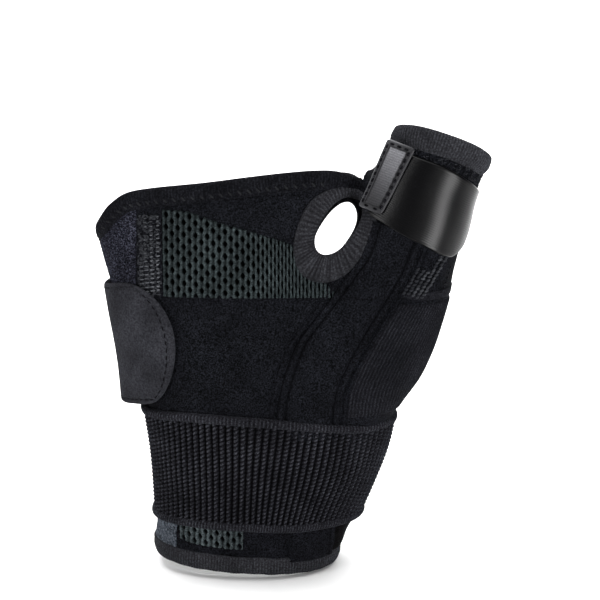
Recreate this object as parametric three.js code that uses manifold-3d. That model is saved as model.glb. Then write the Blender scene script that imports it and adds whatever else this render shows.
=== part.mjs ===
// A right-hand thumb spica splint: a padded fabric sleeve round the palm, the wrist and the lower
// thumb, held by a ribbed elastic strap at the wrist, a tabbed strap at the palm and a smooth strap
// at the thumb. It stands as it is worn. Millimetres; +Z runs from the wrist to the fingers, +X to
// the thumb side, -Y out of the palm, and the origin is the centre of the wrist opening.
import * as THREE from "three";
import { mergeVertices } from "three/addons/utils/BufferGeometryUtils.js";
import Module from "manifold-3d";

const wasm = await Module();
wasm.setup();

// Hand part of the sleeve, outside sizes
const SLEEVE_HEIGHT = 142;
const HAND_WIDTH = 100;
const HAND_DEPTH = 44;
// Thumb part of the sleeve, outside sizes
const THUMB_LENGTH = 106;
const THUMB_WIDTH = 33.4;
const THUMB_DEPTH = 28;
const THUMB_SPREAD_DEG = 17.3;
const THUMB_FORWARD_DEG = 3.5;
const THUMB_MOUTH_RISE = 4;
const THUMB_MOUTH_DROP = 0.6;
// Cloth
const WALL = 2.6;
const CLEARANCE = 0.3;
const TAPE = 0.9;
const EDGE_TAPE_WIDTH = 5.4;
const THUMB_TAPE_WIDTH = 6.6;
const TAPE_INSIDE_WIDTH = 4;
// Opening over the web of the thumb, as cut in the wall
const WEB_LENGTH = 25.6;
const WEB_WIDTH = 13.5;
const WEB_LEAN_DEG = 33;
const WEB_BACK_SLOPE = 0.21;
const WEB_TAPE_WIDTH = 6;
const WEB_TAPE_LOW_EXTRA = 3.1;
const WEB_TAPE_LOW_TURN = 0.3;
const WEB_TAPE_TOP_WIDTH = 0.9;
// Sewn-on panels
const PANEL_THICKNESS = 0.8;
const POCKET_THICKNESS = 1.2;
// Straps
const WRIST_STRAP_WIDTH = 43;
const WRIST_STRAP_THICKNESS = 1.8;
const WRIST_WELT_WIDTH = 3;
const WRIST_WELT_PROUD = 0.5;
const PALM_STRAP_WIDTH = 44.5;
const PALM_STRAP_THICKNESS = 1.6;
const PALM_STRAP_REACH = 0.9;
const PALM_STRAP_STANDOFF = 8;
const PALM_STRAP_TOP_STANDOFF = 1.6;
const PALM_TAB_ROUNDING = 16;
const PALM_TAB_SKEW = 0.019;
const PALM_TAB_START = 0.68;
const THUMB_STRAP_THICKNESS = 1.1;
const TAB_WIDTH = 10.7;
const TAB_LOW_WIDTH = 8.9;
const TAB_THICKNESS = 1;
const TAB_TILT_DEG = 25;

// Sections of the hand part. rise is a share of SLEEVE_HEIGHT, ulnar and radial of HAND_WIDTH, and
// palm and back of HAND_DEPTH, each measured out from the axis; square is the outline's exponent.
const HAND_SECTIONS = [
  { rise: -0.06, ulnar: 0.335, radial: 0.28, palm: 0.48, back: 0.48, square: 2.2 },
  { rise: 0.0, ulnar: 0.35, radial: 0.302, palm: 0.49, back: 0.49, square: 2.2 },
  { rise: 0.045, ulnar: 0.36, radial: 0.33, palm: 0.5, back: 0.49, square: 2.2 },
  { rise: 0.14, ulnar: 0.352, radial: 0.39, palm: 0.52, back: 0.48, square: 2.25 },
  { rise: 0.27, ulnar: 0.362, radial: 0.47, palm: 0.565, back: 0.468, square: 2.3 },
  { rise: 0.4, ulnar: 0.382, radial: 0.5, palm: 0.59, back: 0.455, square: 2.4 },
  { rise: 0.53, ulnar: 0.42, radial: 0.51, palm: 0.58, back: 0.445, square: 2.4 },
  { rise: 0.67, ulnar: 0.478, radial: 0.49, palm: 0.545, back: 0.432, square: 2.4 },
  { rise: 0.81, ulnar: 0.53, radial: 0.455, palm: 0.51, back: 0.42, square: 2.4 },
  { rise: 0.9, ulnar: 0.549, radial: 0.425, palm: 0.48, back: 0.41, square: 2.4 },
  { rise: 1.0, ulnar: 0.546, radial: 0.395, palm: 0.445, back: 0.39, square: 2.4 },
  { rise: 1.08, ulnar: 0.556, radial: 0.37, palm: 0.43, back: 0.38, square: 2.4 },
];

// Sections of the thumb part. along is a share of THUMB_LENGTH from the root to the mouth, web and
// radial are shares of THUMB_WIDTH, and palm and back of THUMB_DEPTH.
const THUMB_SECTIONS = [
  { along: 0.0, web: 0.6, radial: 0.2, palm: 0.43, back: 0.4, square: 2.1 },
  { along: 0.085, web: 0.75, radial: 0.365, palm: 0.55, back: 0.53, square: 2.1 },
  { along: 0.208, web: 0.84, radial: 0.54, palm: 0.7, back: 0.61, square: 2.1 },
  { along: 0.321, web: 0.84, radial: 0.593, palm: 0.75, back: 0.65, square: 2.1 },
  { along: 0.434, web: 0.82, radial: 0.593, palm: 0.75, back: 0.65, square: 2.1 },
  { along: 0.538, web: 0.8, radial: 0.572, palm: 0.71, back: 0.62, square: 2.15 },
  { along: 0.623, web: 0.77, radial: 0.533, palm: 0.66, back: 0.58, square: 2.2 },
  { along: 0.717, web: 0.69, radial: 0.508, palm: 0.61, back: 0.54, square: 2.25 },
  { along: 0.811, web: 0.605, radial: 0.49, palm: 0.57, back: 0.51, square: 2.3 },
  { along: 0.906, web: 0.55, radial: 0.474, palm: 0.54, back: 0.48, square: 2.3 },
  { along: 1.0, web: 0.49, radial: 0.495, palm: 0.515, back: 0.465, square: 2.3 },
  { along: 1.1, web: 0.48, radial: 0.5, palm: 0.51, back: 0.46, square: 2.3 },
];

// Finger edge of the hand part: across is a share of HAND_WIDTH, palm and back are the edge's height
// on each face as shares of SLEEVE_HEIGHT.
const FINGER_EDGE = [
  { across: -0.56, palm: 0.85, back: 0.85 },
  { across: -0.53, palm: 0.888, back: 0.878 },
  { across: -0.49, palm: 0.927, back: 0.9 },
  { across: -0.42, palm: 0.958, back: 0.915 },
  { across: -0.14, palm: 0.985, back: 0.93 },
  { across: 0.14, palm: 1.008, back: 0.952 },
  { across: 0.29, palm: 1.009, back: 0.978 },
  { across: 0.36, palm: 0.992, back: 0.978 },
  { across: 0.42, palm: 0.95, back: 0.95 },
];
const HEM_RISE_ULNAR = 0.019;
const HEM_RISE_RADIAL = -0.004;

// Where things sit, as shares of the sizes above
const THUMB_ROOT = { across: 0.348, forward: 0.082, rise: 0.368 };
const WEB_CENTRE = { across: 0.3025, rise: 0.861 };

// Wrist strap round the sleeve: across is a share of HAND_WIDTH, middle a share of SLEEVE_HEIGHT and
// width a share of WRIST_STRAP_WIDTH.
const WRIST_STRAP_RUN = [
  { across: -0.36, middle: 0.266, width: 0.98 },
  { across: -0.2, middle: 0.274, width: 1.0 },
  { across: 0.0, middle: 0.269, width: 0.987 },
  { across: 0.2, middle: 0.257, width: 0.951 },
  { across: 0.34, middle: 0.251, width: 0.9 },
  { across: 0.47, middle: 0.252, width: 0.9 },
];

// Palm strap from its sewn end on the back, round the little-finger side, to the rounded tab on the
// palm. turn is the share of a full turn round the sleeve and off the share of PALM_STRAP_STANDOFF.
const PALM_STRAP_RUN = [
  { along: 0.0, turn: 0.245, off: 0.0, low: 0.46, width: 0.82 },
  { along: 0.3, turn: 0.36, off: 0.02, low: 0.45, width: 0.87 },
  { along: 0.5, turn: 0.435, off: 0.3, low: 0.431, width: 0.95 },
  { along: 0.62, turn: 0.49, off: 0.94, low: 0.417, width: 0.985 },
  { along: 0.66, turn: 0.51, off: 0.94, low: 0.417, width: 0.985 },
  { along: 0.76, turn: 0.555, off: 0.42, low: 0.427, width: 0.983 },
  { along: 0.88, turn: 0.614, off: 0.1, low: 0.441, width: 0.979 },
  { along: 1.0, turn: 0.665, off: 0.0, low: 0.45, width: 0.976 },
];

// Thumb strap from the back, round the outer side, over the palm side to its tab. turn is the share
// of a full turn round the thumb, low and high are shares of THUMB_LENGTH.
const THUMB_STRAP_RUN = [
  { turn: 0.6, low: 0.725, high: 0.955 },
  { turn: 0.66, low: 0.718, high: 0.955 },
  { turn: 0.75, low: 0.694, high: 0.952 },
  { turn: 0.875, low: 0.672, high: 0.922 },
  { turn: 0.94, low: 0.695, high: 0.905 },
  { turn: 1.0, low: 0.725, high: 0.893 },
  { turn: 1.15, low: 0.72, high: 0.885 },
  { turn: 1.28, low: 0.72, high: 0.885 },
];

// Tab of the thumb strap: low and high as above, and the turns at which its inner edge starts.
const THUMB_TAB = { low: 0.744, high: 0.977, turnLow: 0.66, turnHigh: 0.671 };

// Outlines of the sewn-on panels seen from the palm: across is a share of HAND_WIDTH, rise of
// SLEEVE_HEIGHT.
const MESH_PANEL_OUTLINE = [
  { across: -0.305, rise: 0.93 },
  { across: -0.22, rise: 0.925 },
  { across: -0.12, rise: 0.902 },
  { across: 0.056, rise: 0.866 },
  { across: 0.159, rise: 0.837 },
  { across: 0.205, rise: 0.766 },
  { across: 0.285, rise: 0.73 },
  { across: 0.262, rise: 0.705 },
  { across: -0.128, rise: 0.712 },
  { across: -0.305, rise: 0.714 },
];
const STAY_POCKET_OUTLINE = [
  { across: 0.435, rise: 0.9 },
  { across: 0.381, rise: 0.801 },
  { across: 0.33, rise: 0.759 },
  { across: 0.276, rise: 0.715 },
  { across: 0.216, rise: 0.66 },
  { across: 0.158, rise: 0.604 },
  { across: 0.124, rise: 0.547 },
  { across: 0.101, rise: 0.49 },
  { across: 0.087, rise: 0.43 },
  { across: 0.085, rise: 0.36 },
  { across: 0.306, rise: 0.36 },
  { across: 0.31, rise: 0.406 },
  { across: 0.318, rise: 0.455 },
  { across: 0.337, rise: 0.508 },
  { across: 0.37, rise: 0.562 },
  { across: 0.407, rise: 0.61 },
  { across: 0.444, rise: 0.659 },
  { across: 0.482, rise: 0.7 },
  { across: 0.53, rise: 0.76 },
  { across: 0.6, rise: 0.86 },
];

// Cubic interpolation of every column of a table at a place along its first column.
function readTable(table, key, at) {
  const last = table.length - 1;
  const clamped = Math.min(Math.max(at, table[0][key]), table[last][key]);
  let i = 0;
  while (i < last - 1 && table[i + 1][key] < clamped) i += 1;
  const rows = [table[Math.max(i - 1, 0)], table[i], table[i + 1], table[Math.min(i + 2, last)]];
  const span = rows[2][key] - rows[1][key];
  const t = (clamped - rows[1][key]) / span;
  const row = { [key]: clamped };
  for (const column of Object.keys(rows[1])) {
    if (column === key) continue;
    const slopeIn = (rows[2][column] - rows[0][column]) / (rows[2][key] - rows[0][key]);
    const slopeOut = (rows[3][column] - rows[1][column]) / (rows[3][key] - rows[1][key]);
    row[column] =
      (2 * t ** 3 - 3 * t ** 2 + 1) * rows[1][column] +
      (t ** 3 - 2 * t ** 2 + t) * span * slopeIn +
      (3 * t ** 2 - 2 * t ** 3) * rows[2][column] +
      (t ** 3 - t ** 2) * span * slopeOut;
  }
  return row;
}

const mix = (a, b, t) => a + (b - a) * t;
const radians = THREE.MathUtils.degToRad;

// One outline of a tube: how far it reaches each way from its axis, and its exponent.
function handOutline(z) {
  const row = readTable(HAND_SECTIONS, "rise", z / SLEEVE_HEIGHT);
  return {
    minus: row.ulnar * HAND_WIDTH,
    plus: row.radial * HAND_WIDTH,
    front: row.palm * HAND_DEPTH,
    rear: row.back * HAND_DEPTH,
    square: row.square,
  };
}

function thumbOutline(along) {
  const row = readTable(THUMB_SECTIONS, "along", along / THUMB_LENGTH);
  return {
    minus: row.web * THUMB_WIDTH,
    plus: row.radial * THUMB_WIDTH,
    front: row.palm * THUMB_DEPTH,
    rear: row.back * THUMB_DEPTH,
    square: row.square,
  };
}

// A point of an outline at an angle: 0 is the thumb side, a quarter turn the back of the hand.
function outlinePoint(outline, angle, offset) {
  const c = Math.cos(angle);
  const s = Math.sin(angle);
  const power = 2 / outline.square;
  const across = (c < 0 ? outline.minus : outline.plus) + offset;
  const deep = (s < 0 ? outline.front : outline.rear) + offset;
  return [
    across * Math.sign(c) * Math.abs(c) ** power,
    deep * Math.sign(s) * Math.abs(s) ** power,
  ];
}

const spread = radians(THUMB_SPREAD_DEG);
const forward = radians(THUMB_FORWARD_DEG);
const thumbRoot = new THREE.Vector3(
  THUMB_ROOT.across * HAND_WIDTH,
  -THUMB_ROOT.forward * HAND_DEPTH,
  THUMB_ROOT.rise * SLEEVE_HEIGHT,
);
const thumbAxis = new THREE.Vector3(
  Math.sin(spread) * Math.cos(forward),
  -Math.sin(forward),
  Math.cos(spread) * Math.cos(forward),
);
const thumbAcross = new THREE.Vector3(Math.cos(spread), 0, -Math.sin(spread));
const thumbBackward = new THREE.Vector3().crossVectors(thumbAxis, thumbAcross);

function handPoint(angle, z, offset) {
  const [x, y] = outlinePoint(handOutline(z), angle, offset);
  return new THREE.Vector3(x, y, z);
}

function thumbPlace(along, a, b) {
  return thumbRoot
    .clone()
    .addScaledVector(thumbAxis, along)
    .addScaledVector(thumbAcross, a)
    .addScaledVector(thumbBackward, b);
}

function thumbPoint(angle, along, offset) {
  const [a, b] = outlinePoint(thumbOutline(along), angle, offset);
  return thumbPlace(along, a, b);
}

// Heights of the two edges of the hand part, and how far the thumb part runs at its mouth.
function fingerEdge(x, y) {
  const row = readTable(FINGER_EDGE, "across", x / HAND_WIDTH);
  const backness = Math.min(Math.max(0.5 + y / (HAND_DEPTH * 0.7), 0), 1);
  return mix(row.palm, row.back, backness) * SLEEVE_HEIGHT;
}

function hemEdge(x) {
  const share = (x / HAND_WIDTH + 0.35) / 0.67;
  return mix(HEM_RISE_ULNAR, HEM_RISE_RADIAL, share) * SLEEVE_HEIGHT;
}

function handEdgeHeight(edge, angle) {
  let z = edge(0, 0);
  for (let i = 0; i < 40; i += 1) {
    const p = handPoint(angle, z, 0);
    z = mix(z, edge(p.x, p.y), 0.5);
  }
  return z;
}

function thumbMouth(angle) {
  return THUMB_LENGTH - THUMB_MOUTH_RISE * Math.sin(angle) - THUMB_MOUTH_DROP * Math.cos(angle);
}

// Geometry from a grid of points: each quad is two triangles, and either way can close on itself.
function gridTriangles(points, columns, rows, closedColumns, closedRows, flip) {
  const triangles = [];
  const at = (i, j) => points[(i % columns) * rows + (j % rows)];
  for (let i = 0; i < (closedColumns ? columns : columns - 1); i += 1) {
    for (let j = 0; j < (closedRows ? rows : rows - 1); j += 1) {
      const quad = [at(i, j), at(i + 1, j), at(i + 1, j + 1), at(i, j + 1)];
      if (flip) quad.reverse();
      triangles.push([quad[0], quad[1], quad[2]], [quad[0], quad[2], quad[3]]);
    }
  }
  return triangles;
}

function geometryOf(triangles) {
  const positions = triangles.flatMap((t) => t.flatMap((p) => [p.x, p.y, p.z]));
  const geometry = new THREE.BufferGeometry();
  geometry.setAttribute("position", new THREE.Float32BufferAttribute(positions, 3));
  return mergeVertices(geometry, 1e-4);
}

// A wall round a tube, between an inner and an outer grid; u runs round and w along.
function slab({ columns, rows, pointAt }) {
  const faces = [];
  const [inner, outer] = [0, 1].map((side) => {
    const points = [];
    for (let i = 0; i < columns; i += 1) {
      for (let j = 0; j < rows; j += 1) points.push(pointAt(i / columns, j / (rows - 1), side));
    }
    return points;
  });
  faces.push(...gridTriangles(outer, columns, rows, true, false, false));
  faces.push(...gridTriangles(inner, columns, rows, true, false, true));
  for (const end of [0, rows - 1]) {
    for (let i = 0; i < columns; i += 1) {
      const a = i * rows + end;
      const b = ((i + 1) % columns) * rows + end;
      const quad = [outer[a], outer[b], inner[b], inner[a]];
      if (end === 0) quad.reverse();
      faces.push([quad[0], quad[1], quad[2]], [quad[0], quad[2], quad[3]]);
    }
  }
  return geometryOf(faces);
}

// A sheet with four edges, between an inner and an outer grid.
function sheet({ columns, rows, pointAt }) {
  const at = (i, j, side) => pointAt(i / (columns - 1), j / (rows - 1), side);
  const faces = [];
  for (const side of [0, 1]) {
    const points = [];
    for (let i = 0; i < columns; i += 1) {
      for (let j = 0; j < rows; j += 1) points.push(at(i, j, side));
    }
    faces.push(...gridTriangles(points, columns, rows, false, false, side === 0));
  }
  const border = [];
  for (let i = 0; i < columns - 1; i += 1) border.push([i, 0]);
  for (let j = 0; j < rows - 1; j += 1) border.push([columns - 1, j]);
  for (let i = columns - 1; i > 0; i -= 1) border.push([i, rows - 1]);
  for (let j = rows - 1; j > 0; j -= 1) border.push([0, j]);
  border.forEach(([i, j], k) => {
    const [m, n] = border[(k + 1) % border.length];
    const quad = [at(m, n, 1), at(i, j, 1), at(i, j, 0), at(m, n, 0)];
    faces.push([quad[0], quad[1], quad[2]], [quad[0], quad[2], quad[3]]);
  });
  return geometryOf(faces);
}

// An upright-walled block over an outline in the XZ plane, on the palm side; grow widens it.
function panelBlock(outline, grow) {
  const corners = outline.map(
    ({ across, rise }) => new THREE.Vector2(across * HAND_WIDTH, rise * SLEEVE_HEIGHT),
  );
  const turnSign = Math.sign(THREE.ShapeUtils.area(corners));
  const grown = corners.map((corner, i) => {
    const before = corners[(i + corners.length - 1) % corners.length];
    const after = corners[(i + 1) % corners.length];
    const run = after.clone().sub(before).normalize();
    return corner.clone().add(new THREE.Vector2(run.y, -run.x).multiplyScalar(turnSign * grow));
  });
  const block = new THREE.ExtrudeGeometry(new THREE.Shape(grown), {
    depth: HAND_DEPTH,
    bevelEnabled: false,
  });
  block.rotateX(Math.PI / 2);
  block.deleteAttribute("normal");
  block.deleteAttribute("uv");
  return solidOf(mergeVertices(block, 1e-4));
}

// A filled tube whose ends are closed by fans.
function plug({ columns, rows, pointAt }) {
  const points = [];
  for (let i = 0; i < columns; i += 1) {
    for (let j = 0; j < rows; j += 1) points.push(pointAt(i / columns, j / (rows - 1)));
  }
  const faces = gridTriangles(points, columns, rows, true, false, false);
  for (const end of [0, rows - 1]) {
    const ring = Array.from({ length: columns }, (_, i) => points[i * rows + end]);
    const centre = ring
      .reduce((sum, p) => sum.add(p), new THREE.Vector3())
      .divideScalar(columns);
    ring.forEach((p, i) => {
      const next = ring[(i + 1) % columns];
      faces.push(end === 0 ? [centre, next, p] : [centre, p, next]);
    });
  }
  return geometryOf(faces);
}

// A closed profile carried round a closed path.
function hoop({ columns, profile, pointAt }) {
  const points = [];
  for (let i = 0; i < columns; i += 1) {
    for (let k = 0; k < profile.length; k += 1) points.push(pointAt(i / columns, profile[k]));
  }
  return geometryOf(gridTriangles(points, columns, profile.length, true, true, false));
}

// Six times the volume the faces enclose; it is negative where they point inwards.
function signedVolume(geometry) {
  const position = geometry.getAttribute("position");
  const corner = (i) => new THREE.Vector3().fromBufferAttribute(position, geometry.index.getX(i));
  let sum = 0;
  for (let i = 0; i < geometry.index.count; i += 3) {
    sum += corner(i).dot(corner(i + 1).cross(corner(i + 2)));
  }
  return sum;
}

function facingOut(geometry) {
  if (signedVolume(geometry) > 0) return geometry;
  const index = Array.from(geometry.index.array).reverse();
  geometry.setIndex(index);
  return geometry;
}

function solidOf(geometry) {
  const outward = facingOut(geometry);
  const triVerts = new Uint32Array(outward.index.array);
  const vertProperties = new Float32Array(outward.getAttribute("position").array);
  return new wasm.Manifold(new wasm.Mesh({ numProp: 3, vertProperties, triVerts }));
}

function geometryFrom(solid) {
  const mesh = solid.getMesh();
  const positions = [];
  for (let i = 0; i < mesh.numVert; i += 1) {
    positions.push(...mesh.vertProperties.subarray(i * mesh.numProp, i * mesh.numProp + 3));
  }
  const geometry = new THREE.BufferGeometry();
  geometry.setAttribute("position", new THREE.Float32BufferAttribute(positions, 3));
  geometry.setIndex(Array.from(mesh.triVerts));
  return geometry;
}

// The largest of a solid's separate bodies.
function mainBody(solid) {
  const bodies = solid.decompose();
  return bodies.reduce((best, body) => (body.volume() > best.volume() ? body : best));
}

const HAND_COLUMNS = 40;
const HAND_ROWS = 10;
const THUMB_COLUMNS = 24;
const THUMB_ROWS = 9;
const turn = (u) => 2 * Math.PI * u;

// The hand part between two offsets, from hem to finger edge; past lengthens both ends.
function handShape(build, offsets, past = 0) {
  const edges = new Map();
  return solidOf(
    build({
      columns: HAND_COLUMNS,
      rows: HAND_ROWS,
      pointAt: (u, w, side = 0) => {
        if (!edges.has(u)) {
          edges.set(u, [handEdgeHeight(hemEdge, turn(u)), handEdgeHeight(fingerEdge, turn(u))]);
        }
        const [low, high] = edges.get(u);
        return handPoint(turn(u), mix(low - past, high + past, w), offsets[side]);
      },
    }),
  );
}

// The thumb part between two offsets; past lengthens the mouth and rootPast the root.
function thumbShape(build, offsets, past = 0, rootPast = 0) {
  return solidOf(
    build({
      columns: THUMB_COLUMNS,
      rows: THUMB_ROWS,
      pointAt: (u, w, side = 0) =>
        thumbPoint(turn(u), mix(-rootPast, thumbMouth(turn(u)) + past, w), offsets[side]),
    }),
  );
}

// The oval over the web of the thumb, grown by a margin, as a point of the XZ plane.
function webPoint(u, margin) {
  const lean = radians(WEB_LEAN_DEG);
  const long = (WEB_LENGTH / 2 + margin) * Math.cos(turn(u));
  const short = (WEB_WIDTH / 2 + margin) * Math.sin(turn(u));
  return [
    WEB_CENTRE.across * HAND_WIDTH + long * Math.sin(lean) - short * Math.cos(lean),
    WEB_CENTRE.rise * SLEEVE_HEIGHT + long * Math.cos(lean) + short * Math.sin(lean),
  ];
}

// The oval carried through the sleeve from palm to back; marginAt gives its growth round the oval.
function webCutter(marginAt) {
  return solidOf(
    plug({
      columns: 32,
      rows: 2,
      pointAt: (u, w) => {
        const [x, z] = webPoint(u, marginAt(u));
        const y = mix(HAND_DEPTH, -HAND_DEPTH, w);
        return new THREE.Vector3(x, y, z - WEB_BACK_SLOPE * y);
      },
    }),
  );
}

// The sleeve's wall grown by a margin: hand and thumb tubes joined, hollow through, with the web
// opening cut out.
function sleeveWall(margin) {
  const inside = -WALL - margin;
  const handWall = handShape(slab, [inside, margin], margin);
  const thumbWall = thumbShape(slab, [inside, margin], margin);
  const handHollow = handShape(plug, [inside], margin);
  const thumbHollow = thumbShape(plug, [inside], WALL, -WALL);
  const joined = handWall.subtract(thumbHollow).add(thumbWall.subtract(handHollow));
  return joined.subtract(webCutter(() => -margin));
}

const sleeve = sleeveWall(0);
const sleeveAndGap = sleeveWall(CLEARANCE);

// The section of a tape folded over an edge: down is how far a corner lies from the edge along the
// cloth, off its offset from the cloth's outer face.
function foldedTape(outerWidth, innerWidth, margin = 0) {
  const face = CLEARANCE + TAPE + margin;
  return [
    { down: outerWidth + margin, off: 0 },
    { down: outerWidth + margin, off: face },
    { down: 0, off: face },
    { down: -face, off: -WALL / 2 },
    { down: 0, off: -WALL - face },
    { down: innerWidth + margin, off: -WALL - face },
    { down: innerWidth + margin, off: -WALL / 2 },
  ];
}

function handEdgeTape(edge, inward, margin = 0) {
  const heights = new Map();
  const raw = hoop({
    columns: HAND_COLUMNS,
    profile: foldedTape(EDGE_TAPE_WIDTH, TAPE_INSIDE_WIDTH, margin),
    pointAt: (u, { down, off }) => {
      if (!heights.has(u)) heights.set(u, handEdgeHeight(edge, turn(u)));
      return handPoint(turn(u), heights.get(u) + inward * down, off);
    },
  });
  return solidOf(raw).subtract(sleeveAndGap);
}

function thumbEdgeTape() {
  const raw = hoop({
    columns: THUMB_COLUMNS,
    profile: foldedTape(THUMB_TAPE_WIDTH, TAPE_INSIDE_WIDTH),
    pointAt: (u, { down, off }) => thumbPoint(turn(u), thumbMouth(turn(u)) - down, off),
  });
  return solidOf(raw).subtract(sleeveAndGap);
}

// Everything between two offsets from the sleeve's outer face, hand and thumb parts together.
function overSleeve(from, to) {
  const outer = handShape(plug, [to]).add(thumbShape(plug, [to]));
  return outer.subtract(handShape(plug, [from], WALL)).subtract(thumbShape(plug, [from], WALL));
}

// Tape round the web opening and over its cut edge, on the palm side or the back. It narrows at the
// top, where the sleeve is only a strip.
function webTape(side, margin = 0) {
  const face = CLEARANCE + TAPE + margin;
  const hole = webCutter(() => -face);
  const outerLeaf = webCutter((u) => {
    const topness = Math.max(0, Math.cos(turn(u))) ** 1.5;
    const lowness = Math.max(0, -Math.cos(turn(u) - WEB_TAPE_LOW_TURN)) ** 2;
    const width = WEB_TAPE_WIDTH + lowness * WEB_TAPE_LOW_EXTRA;
    return mix(width, WEB_TAPE_TOP_WIDTH, topness) + margin;
  });
  const layer = overSleeve(-WALL, face).intersect(outerLeaf);
  const far = HAND_DEPTH * 2;
  const half = new THREE.BoxGeometry(SLEEVE_HEIGHT * 2, far, SLEEVE_HEIGHT * 3);
  half.translate(0, (side * far) / 2, 0);
  half.deleteAttribute("normal");
  half.deleteAttribute("uv");
  const ring = layer.subtract(hole).subtract(sleeveAndGap);
  return ring.intersect(solidOf(mergeVertices(half)));
}

// Elastic strap round the wrist, with a thicker welt along each edge.
function wristStrap(margin) {
  const face = CLEARANCE + WRIST_STRAP_THICKNESS + margin;
  const welt = face + WRIST_WELT_PROUD;
  const raw = hoop({
    columns: HAND_COLUMNS,
    profile: [
      { share: 1, inset: -margin, off: -WALL / 2 },
      { share: 1, inset: -margin, off: welt },
      { share: 1, inset: WRIST_WELT_WIDTH + margin, off: welt },
      { share: 1, inset: WRIST_WELT_WIDTH + WRIST_WELT_PROUD + margin, off: face },
      { share: 0.5, inset: 0, off: face },
      { share: 0, inset: -WRIST_WELT_WIDTH - WRIST_WELT_PROUD - margin, off: face },
      { share: 0, inset: -WRIST_WELT_WIDTH - margin, off: welt },
      { share: 0, inset: margin, off: welt },
      { share: 0, inset: margin, off: -WALL / 2 },
    ],
    pointAt: (u, { share, inset, off }) => {
      const level = WRIST_STRAP_RUN[0].middle * SLEEVE_HEIGHT;
      const across = handPoint(turn(u), level, 0).x / HAND_WIDTH;
      const row = readTable(WRIST_STRAP_RUN, "across", across);
      const width = row.width * WRIST_STRAP_WIDTH;
      const z = row.middle * SLEEVE_HEIGHT + (share - 0.5) * width - inset;
      return handPoint(turn(u), z, off);
    },
  });
  return solidOf(raw).subtract(sleeveAndGap);
}

// Strap that stands off the little-finger side and ends in a rounded tab on the palm.
function palmStrap() {
  const raw = sheet({
    columns: 24,
    rows: 9,
    pointAt: (u, v, side) => {
      const rounding = Math.sqrt(1 - (2 * v - 1) ** 2);
      const tip = 1 - (PALM_TAB_ROUNDING / (HAND_WIDTH * PALM_STRAP_REACH)) * (1 - rounding);
      const tabShare = (u - PALM_TAB_START) / (1 - PALM_TAB_START);
      const along = u < PALM_TAB_START ? u : mix(PALM_TAB_START, tip, tabShare);
      const row = readTable(PALM_STRAP_RUN, "along", along);
      const z = row.low * SLEEVE_HEIGHT + v * row.width * PALM_STRAP_WIDTH;
      const standoff = row.off * mix(PALM_STRAP_STANDOFF, PALM_STRAP_TOP_STANDOFF, v);
      const off = CLEARANCE + standoff + side * PALM_STRAP_THICKNESS;
      const skew = PALM_TAB_SKEW * (v - 0.5) * along ** 6;
      return handPoint(turn(row.turn + skew), z, off);
    },
  });
  return solidOf(raw).subtract(sleeveAndGap).subtract(wristStrap(CLEARANCE));
}

function thumbStrap(margin) {
  const [first, last] = [THUMB_STRAP_RUN[0].turn, THUMB_STRAP_RUN.at(-1).turn];
  const raw = sheet({
    columns: 26,
    rows: 4,
    pointAt: (u, v, side) => {
      const row = readTable(THUMB_STRAP_RUN, "turn", mix(first, last, u));
      const low = row.low * THUMB_LENGTH - margin;
      const high = row.high * THUMB_LENGTH + margin;
      const off = side ? CLEARANCE + THUMB_STRAP_THICKNESS + margin : -WALL / 2;
      return thumbPoint(turn(row.turn), mix(low, high, v), off);
    },
  });
  return solidOf(raw).subtract(sleeveAndGap);
}

// Stitched tab sewn to the end of the thumb strap. It lies flat and reaches out over the web.
function thumbStrapTab(margin) {
  const tilt = radians(TAB_TILT_DEG);
  return solidOf(
    sheet({
      columns: 5,
      rows: 6,
      pointAt: (u, v, side) => {
        const share = mix(THUMB_TAB.low, THUMB_TAB.high, v);
        const along = share * THUMB_LENGTH + (2 * v - 1) * margin;
        const hinge = turn(mix(THUMB_TAB.turnLow, THUMB_TAB.turnHigh, v));
        const under = 2 * CLEARANCE + THUMB_STRAP_THICKNESS;
        const start = thumbPoint(hinge, along, under - margin + side * (TAB_THICKNESS + 2 * margin));
        const reach = mix(mix(TAB_LOW_WIDTH, TAB_WIDTH, v) + margin, -margin, u);
        return start
          .addScaledVector(thumbAcross, -reach * Math.cos(tilt))
          .addScaledVector(thumbBackward, reach * Math.sin(tilt));
      },
    }),
  );
}

function meshPanel() {
  const layer = handShape(slab, [-PANEL_THICKNESS, 0]);
  return layer.intersect(panelBlock(MESH_PANEL_OUTLINE, 0));
}

function meshRecess() {
  const layer = handShape(slab, [-PANEL_THICKNESS - CLEARANCE, WALL], WALL);
  return layer.intersect(panelBlock(MESH_PANEL_OUTLINE, CLEARANCE));
}

function stayPocket() {
  const layer = overSleeve(CLEARANCE, CLEARANCE + POCKET_THICKNESS);
  return layer
    .intersect(panelBlock(STAY_POCKET_OUTLINE, 0))
    .subtract(wristStrap(CLEARANCE))
    .subtract(thumbStrap(CLEARANCE))
    .subtract(webTape(-1, CLEARANCE));
}

const group = new THREE.Group();

function addPiece(name, solid, colour, roughness) {
  const material = new THREE.MeshStandardMaterial({ color: colour, roughness, metalness: 0 });
  const mesh = new THREE.Mesh(geometryFrom(mainBody(solid)), material);
  mesh.name = name;
  group.add(mesh);
}

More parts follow.
